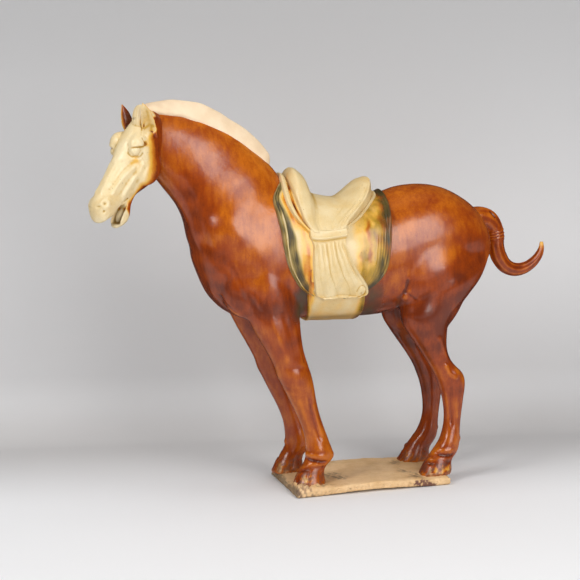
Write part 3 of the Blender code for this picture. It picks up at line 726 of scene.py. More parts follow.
# skull and jaw are melted first and rubbed smooth; eyes, ears and forelock stay crisper
def makeHead():
    parts = [loftSkin(head["skull"], (0, 0, 0), (1, 0, 0), (0, 0, 1), (0, 1, 0), 100, 90), jawSkin(),
             ballSkin(*head["tongue"]), ballSkin(*head["farBrow"])]
    for side in (-1, 1):
        for centre, radii in head["bumps"]:
            parts.append(ballSkin(np.array(centre) * [1, side, 1], radii))
    rough = melted(objectFrom("rough_head", parts), head["roughVoxel"], head["roughPasses"])
    quads = np.empty(len(rough.data.loops), np.int32)
    rough.data.loops.foreach_get("vertex_index", quads)
    parts = [(pointsOf(rough), quads.reshape(-1, 4), np.zeros((0, 3), int)), forelockSkin()]
    for side in (-1, 1):
        parts.append(ballSkin(np.array(head["eye"]) * [1, side, 1], head["eyeRadii"], rows=40, around=60))
        parts.append(earSkin(side))
    bpy.data.objects.remove(rough)
    made = melted(objectFrom("horse_head", parts), head["fineVoxel"], head["finePasses"])
    carve(made, bothSides(headDepth))
    carve(made, lambda co, normal: ripples(co, head["uneven"]))
    setMask(made, "hollow", hollowOf(made, *head["hollow"]))
    return made


horseHead = makeHead()
print("head", len(horseHead.data.polygons), "faces")

mane = {
    "halfWidth": 12.5, "square": 2.4, "egg": 0.5,
    # distance down the neck's line, its outer edge, its root, share of the width
    "rows": [
        (-53, 31, 13, 0.60), (-44, 45, 17, 0.85), (-35, 56, 25, 0.95),
        (-22, 68.5, 35, 1.0), (-8, 79, 47, 1.0), (7, 86.5, 53, 1.0),
        (25, 92.5, 61, 0.95), (45, 97, 68, 0.88), (66, 101.5, 74, 0.82),
        (82, 102.5, 78, 0.78), (101, 101.5, 81, 0.76), (114, 98, 82, 0.72),
        (121, 91, 83, 0.5),
    ],
    "comb": 0.10,
    "uneven": [(0.3, 30, 23), (0.07, 6, 24)], "hollow": (6, 3.0),
}


# a squarish crest along the neck, with faint combing across it
def makeMane():
    rows = [(s, top, root, mane["halfWidth"] * share, mane["square"], mane["egg"])
            for s, top, root, share in mane["rows"]]
    made = objectFrom("mane", [loftSkin(rows, *slanted(neckLine["start"], neckLine["slope"]), 220, 84)])
    turn = np.radians(neckLine["slope"])

    def depth(points, normal):
        down = points[:, 0] * np.cos(turn) + points[:, 2] * np.sin(turn)
        comb = np.sin(down * 1.9 + 1.3 * ripple(points, 22, 21)) * (0.5 + 0.5 * ripple(points, 12, 22))
        return mane["comb"] * comb + ripples(points, mane["uneven"])

    carve(made, depth)
    setMask(made, "hollow", hollowOf(made, *mane["hollow"]))
    return made


tail = {
    # x, height, radius along its curve
    "path": [
        (168, 350, 16), (184, 358, 17), (199, 355, 15.5), (208, 345, 13.5),
        (212, 331, 12), (213, 316, 11.5), (217, 302, 11.5), (226, 289.5, 10.5),
        (240, 283.2, 9.4), (256, 285.2, 8.2), (268, 292, 7.0), (277, 301.5, 5.6),
        (281.5, 311.5, 4.0), (282, 321, 2.2),
    ],
    "strands": 9, "strandDepth": 0.8,
    "bound": (0.27, 0.36),    # share of the length that the binding covers
    "turns": 4, "turnDepth": 0.9,
    "hollow": (5, 5.0),
    "slit": ([(198, -9, 368), (203, -11, 364), (207, -12, 357)], 1.3, -2.2),    # path, width, depth
}


# A round bar along a curve. Its radius is the row's, times the strands' waves round it, and
# with the binding's rings where it is bound.
def makeTail(rows=340, around=76):
    line = smoothPath([(x, 0, z) for x, z, _ in tail["path"]], rows)
    table = np.array(tail["path"], float)
    run = np.concatenate([[0], np.cumsum(np.hypot(*np.diff(table[:, :2], axis=0).T))])
    radius = throughRows(np.column_stack([run, table[:, 2]]), rows)[:, 1]
    share = np.linspace(0, 1, rows)
    ahead = np.gradient(line, axis=0)
    ahead /= np.linalg.norm(ahead, axis=1)[:, None]
    side = np.array([0, 1.0, 0]) + 0 * line
    over = np.cross(ahead, side)
    turn = np.linspace(0, 2 * np.pi, around, endpoint=False)[None, :]
    start, end = tail["bound"]
    bound = (softStep(share, start, start + 0.012) * fade(share, end - 0.012, end))[:, None]
    loose = softStep(share, end, end + 0.05) * (1 - 0.6 * softStep(share, 0.85, 1.0))
    loose = (loose + softStep(share, 0.04, 0.12) * fade(share, start - 0.03, start))[:, None]
    wave = turn * tail["strands"] + 5.0 * share[:, None] + 0.6 * np.sin(9 * share[:, None] + turn)
    strands = -np.abs(np.sin(wave / 2)) ** 0.7 * tail["strandDepth"] + 0.3
    rings = -np.abs(np.sin(np.pi * (share[:, None] - start) / (end - start) * tail["turns"]
                           + 0.35 * np.sin(turn))) ** 0.6
    reach = radius[:, None] + loose * strands + bound * (1.0 + tail["turnDepth"] * (rings + 0.2))
    reach = reach + 0.25 * np.sin(3 * turn + 14 * share[:, None]) * (1 - bound)
    rings = line[:, None] + reach[..., None] * (np.cos(turn)[..., None] * side[:, None]
                                                + np.sin(turn)[..., None] * over[:, None])
    made = objectFrom("tail", [skinArrays(rings)])
    carve(made, lambda co, normal: crease(co * [1, -1, 1], *tail["slit"]) + crease(co, *tail["slit"]))
    setMask(made, "hollow", hollowOf(made, *tail["hollow"]))
    return made


horseMane, horseTail = makeMane(), makeTail()
print("mane and tail")

# Cloths on the trunk. A row is a line across the cloth from its front to its rear edge:
# angle from the spine and x of the one, then of the other. The gain is the hollow mask's.
cloths = {
    "blanket": {
        "edge": [
            (0, -99, 0, 42), (20, -103, 18, 41), (34, -112, 29, 41), (46, -119.5, 39, 41),
            (62, -117, 60, 39), (74, -114, 77, 36), (88, -112, 94, 31), (102, -107, 106, 22),
            (112, -99, 114, 8), (120, -89, 121, -10), (125, -77, 125, -32),
        ],
        "thick": 3.5, "rim": 2.6, "gain": 2.3,
        # folds along an edge: distance from it, share of the drift, width, height
        "frontFolds": [(3.6, 0.6, 0.9, -1.0), (5.6, 1.0, 1.1, 1.1), (7.6, 1.0, 0.9, -0.8)],
        "lowFrontFolds": [(9.6, 1.0, 0.8, -0.8), (12.6, 1.0, 0.8, -0.7), (15.6, 1.0, 0.8, -0.5)],
        "rearFolds": [(5.2, 0.6, 0.9, -1.0), (8.6, -0.6, 0.9, -0.8)],
        "lowRearFolds": [(12.0, 0.6, 0.8, -0.7), (15.4, 0.6, 0.8, -0.6), (19.0, 0.6, 0.8, -0.4)],
    },
    "pad": {
        "edge": [
            (0, -102, 0, 31), (24, -105, 18, 29), (42, -106, 34, 13), (55, -102, 47, -4),
            (64, -92, 55, -19), (70, -77, 60, -25),
        ],
        "thick": 5.5, "rim": 2.8, "gain": 2.3,
    },
    "saddle": {
        "edge": [
            (0, -92, 0, 25), (23, -94, 15, 24), (42, -91, 33, 9), (54, -87, 46, -11),
            (64, -81, 54, -22), (69, -73, 60, -26),
        ],
        "thick": 8.5, "rim": 3.4, "gain": 2.3, "pommel": 17.5, "cantle": 18.5, "rollReach": 62.0,
        # creases that fan out of the strap: share of the way at the foot, lean, depth
        "fan": [(0.34, -0.05, 0.25), (0.46, -0.02, 0.15), (0.58, 0.10, 0.35), (0.70, 0.16, 0.5)],
    },
    "skirt": {
        "edge": [
            (66.5, -78, 59, -25), (73.5, -77, 66.5, -26), (76.5, -75, 70, -28), (88, -75, 80, -25),
            (98, -75, 89, -19.5), (106, -74.5, 97, -13), (114, -73, 106, -4), (119, -72, 113, 1),
            (123, -68, 119, -1), (125, -58, 121, -12),
        ],
        "thick": 7.3, "rim": 2.0, "gain": 2.0, "strap": 2.0, "strapEnd": 65.5, "strapSlant": 8.0,
        "pleats": 8, "pleatDepth": 0.75, "curl": (-8.0, 274.0),
    },
    "girth": {
        "edge": [
            (100, -80, 100, -10), (124, -80, 123, -1), (140, -77, 140, 1), (160, -73, 160, -1),
            (180, -71, 180, -4),
        ],
        "thick": 3.5, "rim": 1.6, "gain": 2.3,
    },
}
trunkFine = throughRows(trunkRows, 600)


# a point of the trunk's skin at x, at an angle from the spine, lifted off it: the section is
# a superellipse, and the left side, -y, has the positive angles
def trunkPoint(x, degrees, lift):
    top, bottom, half, square, egg = (np.interp(x, trunkFine[:, 0], trunkFine[:, i]) for i in range(1, 6))
    turn = np.radians(degrees)
    rise = superWave(np.cos(turn), square)
    swing = superWave(np.sin(turn), square) * (1 - egg * rise)
    middle, tall = (top + bottom) / 2, (top - bottom) / 2
    out = np.stack([rise * half, -swing * tall])
    out /= np.maximum(np.hypot(*out), 1e-6)
    return np.stack([x, -half * swing + lift * out[1], middle + tall * rise + lift * out[0]], -1)


# A closed sheet on the trunk. Its outer side is lifted by a function of the angle, the share
# of the way from front to rear, and the distances in mm from the front, the rear and the
# lower edge; the lift runs out as a quarter round at the edges. Its inner side is sunk.
def clothSkin(name, liftOf, rows=240, columns=200, sink=5.0, both=True):
    cloth = cloths[name]
    table = throughRows(cloth["edge"], rows)
    if both:
        table = np.concatenate([table[:0:-1] * [-1, 1, -1, 1], table])
    even = np.linspace(0, 1, columns)
    share = (even - 0.55 * np.sin(2 * np.pi * even) / (2 * np.pi))[None, :]
    angle = table[:, :1] + (table[:, 2:3] - table[:, :1]) * share
    x = table[:, 1:2] + (table[:, 3:4] - table[:, 1:2]) * share
    flat = trunkPoint(x, angle, np.zeros_like(x))
    across = np.linalg.norm(np.diff(flat, axis=1), axis=2)
    fromFront = np.concatenate([np.zeros((len(x), 1)), np.cumsum(across, axis=1)], axis=1)
    fromRear = fromFront[:, -1:] - fromFront
    down = np.linalg.norm(np.diff(flat, axis=0), axis=2)
    fromTop = np.concatenate([np.zeros((1, columns)), np.cumsum(down, axis=0)])
    fromEnd = fromTop[-1:] - fromTop
    if both:
        fromEnd = np.minimum(fromEnd, fromTop)
    lift = liftOf(np.abs(angle), share + 0 * angle, fromFront, fromRear, fromEnd, flat)
    rim = cloth["rim"]
    near = np.clip(np.minimum(np.minimum(fromFront, fromRear), fromEnd) / rim, 0, 1)
    lift = lift * np.sqrt(1 - (1 - near) ** 2)
    outer = trunkPoint(x, angle, lift)
    rims = [np.append(np.concatenate([far, np.zeros((len(x), 8))], axis=1), [0, 0])
            for far in (fromFront, fromRear)]
    back = np.linspace(1, 0, 8)[None, :]
    angle = table[:, :1] + (table[:, 2:3] - table[:, :1]) * back
    x = table[:, 1:2] + (table[:, 3:4] - table[:, 1:2]) * back
    inner = trunkPoint(x, angle, np.full_like(x, -sink))
    return skinArrays(np.concatenate([outer, inner], axis=1)), rims


# hand-worked unevenness in two sizes
def uneven(flat, seed):
    points = flat.reshape(-1, 3)
    return ripples(points, [(0.28, 24, seed), (0.04, 9, seed + 1)]).reshape(flat.shape[:2])


# bells of the distance from an edge; their lines drift along it
def foldsAlong(far, drift, folds):
    return sum(height * bell(far, place + share * drift, width) for place, share, width, height in folds)


# the blanket: a raised rim, and folds that follow its front and rear edges
def blanketLift(angle, share, fromFront, fromRear, fromEnd, flat):
    cloth = cloths["blanket"]
    lift = cloth["thick"] + uneven(flat, 31)
    lift = lift + 0.5 * bell(fromFront, 1.6, 1.4) + 0.9 * bell(fromRear, 2.2, 1.8)
    drift = 1.2 * np.sin(angle / 9.0)
    above = fade(angle, 100, 112)
    lift += softStep(angle, 26, 44) * foldsAlong(fromFront, drift, cloth["frontFolds"])
    lift += softStep(angle, 66, 84) * foldsAlong(fromFront, drift, cloth["lowFrontFolds"])
    lift += softStep(angle, 16, 30) * above * foldsAlong(fromRear, drift, cloth["rearFolds"])
    return lift + softStep(angle, 50, 74) * above * foldsAlong(fromRear, drift, cloth["lowRearFolds"])


# the felt pad under the saddle shows as a roll along its front and rear edges
def padLift(angle, share, fromFront, fromRear, fromEnd, flat):
    lift = cloths["pad"]["thick"] + uneven(flat, 35)
    roll = 2.8 * bell(fromFront, 5.0, 4.2, 4) - 3.0 * bell(fromFront, 11.5, 2.4)
    return lift + roll + 1.8 * bell(fromRear, 3.8, 3.0) - 0.8 * bell(fromRear, 8.6, 1.6)


# a seat between the pommel and the cantle, two rolls that run down into the strap, with
# creases that fan out of the strap
def saddleLift(angle, share, fromFront, fromRear, fromEnd, flat):
    cloth = cloths["saddle"]
    height = fade(angle, 4, cloth["rollReach"])
    pommel = (cloth["pommel"] * height + 2.0) * bell(share, 0.135, 0.112, 4)
    cantle = (cloth["cantle"] * height + 2.0) * softStep(share, 0.55, 0.9) * fade(share, 0.955, 1.01)
    lift = cloth["thick"] + pommel + cantle + uneven(flat, 37)
    lift = lift + 1.0 * bell(fromRear, 5.0, 3.0) * softStep(angle, 8, 20)
    lift = lift - 0.9 * bell(fromRear, 10.5, 2.2) * softStep(angle, 14, 26)
    spread = softStep(angle, 22, 40) * fade(angle, 60, 66)
    for foot, lean, deep in cloth["fan"]:
        line = foot + lean * (64 - angle) / 44
        lift = lift - deep * spread * (bell(share, line, 0.020) - 0.6 * bell(share, line + 0.042, 0.028))
    return lift


# the gathered cloth: a strap across its top, narrow pleats that open downwards, a rolled
# slanting hem and a curl at its lower rear corner
def skirtLift(angle, share, fromFront, fromRear, fromEnd, flat):
    cloth = cloths["skirt"]
    below = angle - cloth["strapSlant"] * (1 - share) - cloth["strapEnd"]
    strap = cloth["strap"] * fade(below, 0, 0.9) + 0.5 * (bell(below, -0.9, 0.8) + bell(below, -6.6, 1.0))
    bend = 0.007 * np.sin(angle / 6.0 + 9 * share) + 0.004 * np.sin(angle / 2.6 + 20 * share)
    line = np.abs(np.cos(np.pi * cloth["pleats"] * (share - 0.02 + bend)))
    narrow = 0.3 - (0.9 + 0.5 * np.sin(21 * share)) * line ** 9 - 0.35 * line ** 2
    pleats = cloth["pleatDepth"] * narrow * softStep(below, 1.5, 5) * (1 - 0.55 * softStep(angle, 96, 118))
    groove = -1.0 * bell(below, 1.6, 0.9)
    hem = (1.7 * bell(fromRear, 2.4, 1.9) - 1.0 * bell(fromRear, 6.0, 1.5)) * softStep(below, 2, 9)
    side = 0.8 * bell(fromFront, 2.0, 1.6) * softStep(below, 2, 7)
    foot = 0.9 * bell(fromEnd, 2.4, 1.8) - 0.5 * bell(fromEnd, 6.0, 1.3)
    curlX, curlZ = flat[..., 0] - cloth["curl"][0], flat[..., 2] - cloth["curl"][1]
    ring = np.hypot(curlX, 0.75 * curlZ)
    curl = 2.2 * np.exp(-(ring / 8.0) ** 2) - 1.2 * bell(ring, 4.4 + 0.9 * np.arctan2(curlZ, curlX), 0.9)
    return cloth["thick"] + strap + pleats + groove + hem + side + foot + curl + 0.8 * uneven(flat, 41)


# a band, a little thicker along both edges
def girthLift(angle, share, fromFront, fromRear, fromEnd, flat):
    lift = cloths["girth"]["thick"] + uneven(flat, 45)
    return lift + 0.5 * bell(fromFront, 2.2, 1.6) + 0.5 * bell(fromRear, 2.2, 1.6)


# a cloth over the spine, or one for each side; it keeps how far each point is from its edges
def makeCloth(name, liftOf, rows, columns, sink=5.0, both=True):
    skin, rims = clothSkin(name, liftOf, rows, columns, sink, both)
    skins = [skin] if both else [skin, moved(skin, mirrored)]
    made = objectFrom(name, skins)
    setMask(made, "hollow", hollowOf(made, 6, cloths[name]["gain"]))
    for mask, far in zip(("front", "rear"), rims):
        setMask(made, mask, np.tile(far, len(skins)) / 10)
    return made


horseCloths = [
    makeCloth("blanket", blanketLift, 140, 190),
    makeCloth("pad", padLift, 80, 130),
    makeCloth("saddle", saddleLift, 110, 170, sink=2.0),
    makeCloth("skirt", skirtLift, 170, 170, both=False),
    makeCloth("girth", girthLift, 80, 80, both=False),
]
print("cloths")

slab = {
    "length": 218.0, "width": 150.0, "thick": 10.5, "arch": 3.0, "foot": 34.0,
    "centreX": 3.0,
    "voxel": 1.3,
    "pits": [(0.6, 9, 51), (0.6, 4.5, 52), (0.45, 2.8, 53)],    # height, size, seed
    "hollow": (5, 2.2),
    # luting clay round the hooves: x, y, radii, height
    "lumps": [
        (-86, -44, 27, 26, 3.6), (-96, -66, 9, 8, 6.0), (-78, -68, 8, 7, 4.5), (-101, -50, 8, 10, 4.5),
        (-62, -66, 9, 7, 2.0), (-92, 44, 26, 24, 2.8), (96, -44, 30, 24, 2.0), (96, 44, 30, 24, 2.0),
    ],
}


# A thin tile, arched along its length, with worn and pitted edges. It stands on a flat strip
# under each end, and clay is luted round the hooves. Its own frame has z up from the ground.
def makeSlab():
    length, width, thick = slab["length"], slab["width"], slab["thick"]
    turn = np.linspace(0, 2 * np.pi, 120, endpoint=False)
    section = np.stack([0 * turn, superWave(np.cos(turn), 26) * width / 2,
                        superWave(np.sin(turn), 9) * thick / 2], -1)
    along = np.linspace(-1, 1, 60) * length / 2
    taper = (1 - np.clip((np.abs(along) - length / 2 + 1.2) / 1.2, 0, 1) ** 2 * 0.12)[:, None, None]
    rings = section[None] * np.where(np.arange(3) == 2, taper, 1) + [slab["centreX"], 0, thick / 2]
    rings[..., 0] += along[:, None]
    made = melted(objectFrom("slab", [skinArrays(rings)]), slab["voxel"], 3)
    co = pointsOf(made)
    inside = np.stack([length / 2 - np.abs(co[:, 0] - slab["centreX"]), width / 2 - np.abs(co[:, 1])], -1)
    edge = inside.min(1)
    top = softStep(co[:, 2], thick * 0.45, thick * 0.8)
    reach = length / 2 - slab["foot"]
    rise = slab["arch"] * (1 - np.clip(np.abs(co[:, 0] - slab["centreX"]) / reach, 0, 1) ** 2)
    worn = np.exp(-np.clip(edge, 0, 99) / 4.0)
    corner = np.exp(-(((co[:, 0] + 106) / 22) ** 2 + ((co[:, 1] - 60) / 34) ** 2))
    centre = [slab["centreX"], 0, thick / 2]
    outward = np.sign(co - centre) * np.exp(-np.clip(inside, 0, 99) / 3.0)[:, [0, 1, 1]] * [1, 1, 0]
    pits = ripples(co, slab["pits"]) * (1 + 1.3 * corner) + 1.4 * corner
    co = co - outward * np.clip(0.9 + 0.9 * pits + 0.8 * ripple(co, 34, 54), 0, 4)[:, None]
    co[:, 2] += top * (0.35 * ripple(co, 30, 55) + 0.12 * ripple(co, 7, 56) - worn * (0.9 + 0.7 * pits))
    for x, y, alongX, alongY, height in slab["lumps"]:
        far = ((co[:, 0] - x) / alongX) ** 2 + ((co[:, 1] - y) / alongY) ** 2
        rough = 0.70 + 0.40 * ripple(co, 7, 57)
        co[:, 2] += top * height * np.exp(-far ** 2) * rough * softStep(edge, 0, 3)
    co[:, 2] = np.maximum(co[:, 2], 0) + rise
    setPoints(made, co)
    setMask(made, "hollow", hollowOf(made, *slab["hollow"]))
    return made


horseSlab = makeSlab()
print("slab", len(horseSlab.data.polygons), "faces")

# Where each glaze lies. The masks are worked out in the figure's millimetres: amber is 0 for
# cream and 1 for the full brown, green is the copper runs, clay is where no glaze took.
bodyClay = [
    # near foreleg, far foreleg, near hind leg, far hind leg: centre, radii
    ((-92, -62, 22), (5, 6, 6)), ((-84, -61, 14), (3, 6, 4)), ((-101, -50, 16), (4, 7, 7)),
    ((-104, 28, 18), (6, 8, 7)), ((-92, 24, 14), (5, 7, 4)), ((86, -62, 17), (6, 8, 6)),
    ((82, 26, 18), (6, 7, 6)), ((98, -64, 14), (4, 6, 3)),
]
bodyYellow = [
    ((-88, -60, 22), (12, 8, 9)), ((94, -62, 18), (14, 8, 9)), ((-102, 30, 20), (11, 10, 9)),
    ((86, 28, 22), (10, 10, 9)), ((-112, 32, 176), (7, 8, 16)), ((114, -60, 20), (8, 8, 6)),
]
# thicker coats are positive, thinner ones negative, and one is painted shade: centre, radii, how much
bodyCoatsAndShade = [
    ((-236, -30, 495), (44, 60, 30), -0.02), ((-136, -60, 392), (36, 60, 34), -0.22),
    ((-166, -60, 362), (40, 60, 40), -0.08), ((50, -60, 345), (16, 40, 30), -0.06),
    ((-216, -60, 396), (20, 60, 40), 0.32), ((-232, -30, 345), (20, 60, 66), 0.46),
    ((-188, -60, 300), (18, 60, 30), 0.30), ((-206, -30, 275), (30, 60, 30), 0.44),
    ((156, -60, 286), (30, 60, 40), 0.38), ((160, -60, 338), (28, 60, 32), 0.14),
    ((95, -60, 244), (66, 60, 38), 0.50), ((-125, -55, 256), (48, 60, 26), 0.56),
    ((120, 42, 150), (40, 30, 90), 0.36), ((98, -60, 200), (40, 60, 34), 0.32),
    ((115, -50, 150), (50, 60, 60), 0.16), ((84, -40, 392), (60, 60, 24), -0.04),
    ((-100, -60, 195), (50, 60, 36), 0.18), ((120, -50, 84), (40, 60, 46), 0.20),
    # ((20, -30, 236), ...) darkens the underside of the belly: painted shade
    ((-105, 40, 130), (50, 30, 110), 0.26), ((20, -30, 236), (80, 60, 12), 0.30),
    ((-90, -60, 22), (30, 30, 20), 0.30), ((100, -60, 22), (34, 30, 20), 0.25),
]


# a coat's thickness, with painted shade under the belly, kept apart from how hollow the clay is
def addCoatAndShade(made, coat):
    setMask(made, "coat", np.clip(coat, -1, 1))


# a mask's values, read back
def valuesOf(made, mask):
    values = np.empty(len(made.data.vertices), np.float32)
    made.data.attributes[mask].data.foreach_get("value", values)
    return values.astype(float)


# amber all over but hooves and crest; then coats, painted shade under the belly, green by the cloths, grime
def paintBody(made):
    co = pointsOf(made)
    x, z = co[:, 0], co[:, 2]
    broken = 0.75 + 0.45 * ripple(co, 7, 61) + 0.3 * ripple(co, 3, 62)
    setMask(made, "clay", 0.52 * softStep(spots(co, bodyClay) * broken, 0.35, 1.0))
    amber = 1 - 0.50 * softStep(spots(co, bodyYellow) * broken, 0.15, 1.0)
    # the crest beside the mane took a thinner coat
    along = np.radians(neckLine["slope"])
    over = (x - neckLine["start"][0]) * -np.sin(along) + (z - neckLine["start"][1]) * np.cos(along)
    onNeck = softStep(z, 380, 420) * fade(x, -120, -100)
    crest = onNeck * softStep(over, 62, 84) * (0.75 + 0.4 * ripple(co, 15, 63) + 0.25 * ripple(co, 5, 60))
    crest = np.clip(crest, 0, 1)
    setMask(made, "amber", amber - 0.26 * crest)
    coat = 0.09 * ripple(co, 60, 66) + 0.07 * ripple(co, 24, 67) - 0.20 * crest
    wander = 1 + 0.35 * ripple(co, 28, 68)
    leftOnly = mirrored(folded(co))
    for centre, radii, much in bodyCoatsAndShade:
        near = co if centre[1] > 0 else leftOnly
        coat = coat + much * np.exp(-(((near - centre) / radii) ** 2).sum(1) * wander)
    addCoatAndShade(made, coat)
    # copper green and its dark edge beside the cloths
    beside = bell(x + 0.1 * (262 - z), -86, 11) * softStep(z, 226, 244) * fade(z, 272, 292)
    beside = beside + 0.9 * bell(x, 12, 14) * softStep(z, 226, 236) * fade(z, 268, 290)
    rear = bell(x, 44, 5) * softStep(z, 318, 345) * fade(z, 372, 390)
    green = (0.75 * beside + 0.30 * rear) * (0.9 + 0.2 * ripple(co, 16, 64))
    setMask(made, "green", np.clip(green, 0, 1.2))
    grime = 0.6 * fade(z, 22, 44) * softStep(ripple(co, 7, 59), -0.4, 0.6)
    setMask(made, "dirt_and_shade", np.clip(0.80 * beside * (0.85 + 0.2 * ripple(co, 14, 69)) + grime, 0, 1))


# the edge of the cream on the head, as u over s: behind and below it the coat turns amber
cheekEdge = [
    (-30, 26), (-8, 17), (10, 8.5), (19, 4.5), (30, -3), (40, -11), (50, -18), (60, -23.5), (72, -27),
    (90, -21.5), (104, -18), (112, -17.5), (118, -20), (126, -34),
]


# cream before that edge and amber behind it; then ears, tuft, grooves, lids and mouth
def paintHead(made):
    co, normal = pointsOf(made), normalsOf(made)
    s, out, u = co.T
    edge = np.array(cheekEdge, float)
    line = np.interp(s, edge[:, 0], edge[:, 1]) + 1.2 * ripple(co, 13, 65)
    wide = np.interp(s, [0, 20, 60, 80, 95, 110], [9, 18, 25, 17, 8, 4])
    amber = np.clip((line + 0.82 * wide - u) / wide, 0, 1)
    level, levelNormal = headLevel(co), headLevelWay(normal)
    bothOut, bothLevel = folded(co), folded(level)
    # the ears are those points near their lines
    far, share = nearPath(bothLevel, smoothPath(ear["line"], 24))
    reach = np.interp(share, np.linspace(0, 1, 5), ear["half"])
    onEar = fade(far, reach + 0.8, reach + 2.5) * softStep(share, 0.14, 0.22)
    farEar = onEar * (out < 0)
    left, right = ([ear["opens"][side][0], side * ear["opens"][side][1], 0] for side in (1, -1))
    facing = (levelNormal * np.where(out[:, None] > 0, left, right)).sum(1)
    behind = softStep(-facing, -0.2, 0.9)
    inside = onEar * softStep(facing, 0.35, 0.75)
    amber = amber * (1 - onEar) + onEar * (0.06 + 0.86 * behind + 0.10 * inside)
    tuft = softStep(level[:, 2], 497, 503) * fade(out, 15, 17) * softStep(out, -9, -7)
    tuft = tuft * softStep(level[:, 0], 12, 17) * (1 - onEar)
    amber = amber * (1 - tuft)
    # yellow under the eye and in the long grooves
    yellow = 0.24 * spot(bothOut, [62, 22, 9], [6, 8, 7])
    far, share = nearPath(bothOut, smoothPath(headMarks[6][0], 24))
    yellow = yellow + 0.13 * bell(far, 0, 3.4) * (1 - share)
    far, share = nearPath(bothOut, smoothPath(headMarks[8][0], 24))
    yellow = yellow + 0.08 * bell(far, 0, 2.8)
    # brown that lies in the crease behind the eye and under the ear
    brown = spots(bothOut, [((36, 26, 9.3), (3.2, 6, 3.0)), ((9, 12, 23), (6, 5, 3))])
    crevice = smoothPath([(7.8, 11, 22.2), (17.1, 20.1, 19.6), (16.7, 23.7, 14.8), (17.1, 23, 8.1)], 24)
    underEar = bell(nearPath(bothOut, crevice)[0], 0, 1.3)
    flat = np.array([1, head["markOut"], 1])
    lid = smoothPath(np.array(headMarks[0][0]) * flat, 24)
    lid = bell(nearPath(bothOut * flat, lid)[0], 0, 0.8) * softStep(bothOut[:, 1], 12, 16)
    rimmed = onEar * softStep(-levelNormal[:, 0], 0.1, 1.0) * (out > 0)
    ends = edgesOf(made)
    amber = (amber + 0.75 * rimmed)[:, None]
    for _ in range(5):    # takes the steps of the mesh out of the ears' edges
        amber = neighbourMean(amber, ends, len(co))
    amber = amber[:, 0] + yellow + 0.8 * brown + 0.9 * underEar + 0.35 * lid
    setMask(made, "amber", np.clip(amber, 0, 1))
    eyeball = np.exp(-(((bothOut - [54, 25, 16]) / [5.5, 8, 7.5]) ** 2).sum(1) ** 2)
    coat = 0.30 * softStep(line + 30 - u, 0, 30) * fade(s, 100, 130) + 0.04
    addCoatAndShade(made, coat - 0.5 * eyeball + 0.5 * farEar)
    # painted shade in the mouth, the nostrils, the lids' crease and corners, and the pit before the tuft
    pit = spot(bothOut, [10.9, 5.3, 27.8], [1.5, 2.6, 3])
    mouth = softStep(s, 113, 119) * fade(s, 139, 142) * softStep(9.4 - np.abs(out), 0, 1.5)
    mouth = mouth * softStep(-u, 10, 13) * softStep(normal[:, 2], -0.2, 0.3)
    tongue = softStep(u, -19, -17) * bell(out, 0, 5, 4) * bell(s, 126, 10, 4)
    mouth = mouth * (1 - 0.7 * tongue)
    corner = spot(bothOut, [36, 26, 9.3], [2.4, 6, 2.2])
    corner = corner + 0.8 * spot(bothOut, [55.5, 20.5, 25.5], [1.7, 4, 1.7])
    nostril = spot(bothOut, [132.5, 17, 18.4], [2.0, 7, 1.5])
    # also painted shade in the crease under the ear; a little darker inside the ears and on the far ear
    dirt_and_shade = 0.16 * farEar + 1.6 * pit + 0.36 * mouth + 0.7 * lid + 0.8 * corner
    dirt_and_shade = dirt_and_shade + 0.6 * underEar + 0.30 * nostril + 0.10 * inside
    setMask(made, "dirt_and_shade", np.clip(dirt_and_shade, 0, 1))
    setMask(made, "clay", tuft * 0.3)
    setMask(made, "green", 0.12 * inside)


# a direction (s, out, u) turned back to (ahead, out, height)
def headLevelWay(way):
    fall = np.radians(head["slope"])
    return np.stack([np.cos(fall) * way[:, 0] - np.sin(fall) * way[:, 2], way[:, 1],
                     np.sin(fall) * way[:, 0] + np.cos(fall) * way[:, 2]], -1)


# the same for points, which start at the poll
def headLevel(points):
    return headLevelWay(points) + [head["start"][0], 0, head["start"][1]]


# a run of glaze: it starts at a height, drifts as it falls and thins out
def run(points, x, top, bottom, width, seed):
    drift = 2.2 * ripple(points * [0.15, 0.15, 1], 30, seed) + 1.2 * ripple(points, 12, seed + 1)
    core = np.exp(-((points[:, 0] - x - drift) / width) ** 2)
    z = points[:, 2]
    return core * softStep(z, bottom - 14, bottom + 10) * fade(z, top - 6, top + 10)


# the runs on the cloths: x, top, bottom, width, depth
amberRuns = [
    (4, 362, 312, 3.6, 0.34), (-10, 322, 306, 5.0, 0.26), (24, 372, 345, 4.0, 0.16),
    (-3, 300, 282, 6.0, 0.10), (14, 350, 322, 3.0, 0.12),
]
greenRuns = [
    (18, 358, 296, 4.2, 0.52), (-5, 324, 280, 3.6, 0.48), (12, 300, 262, 10.0, 0.36),
    (8, 372, 346, 3.0, 0.14), (-12, 290, 262, 5.0, 0.30),
]
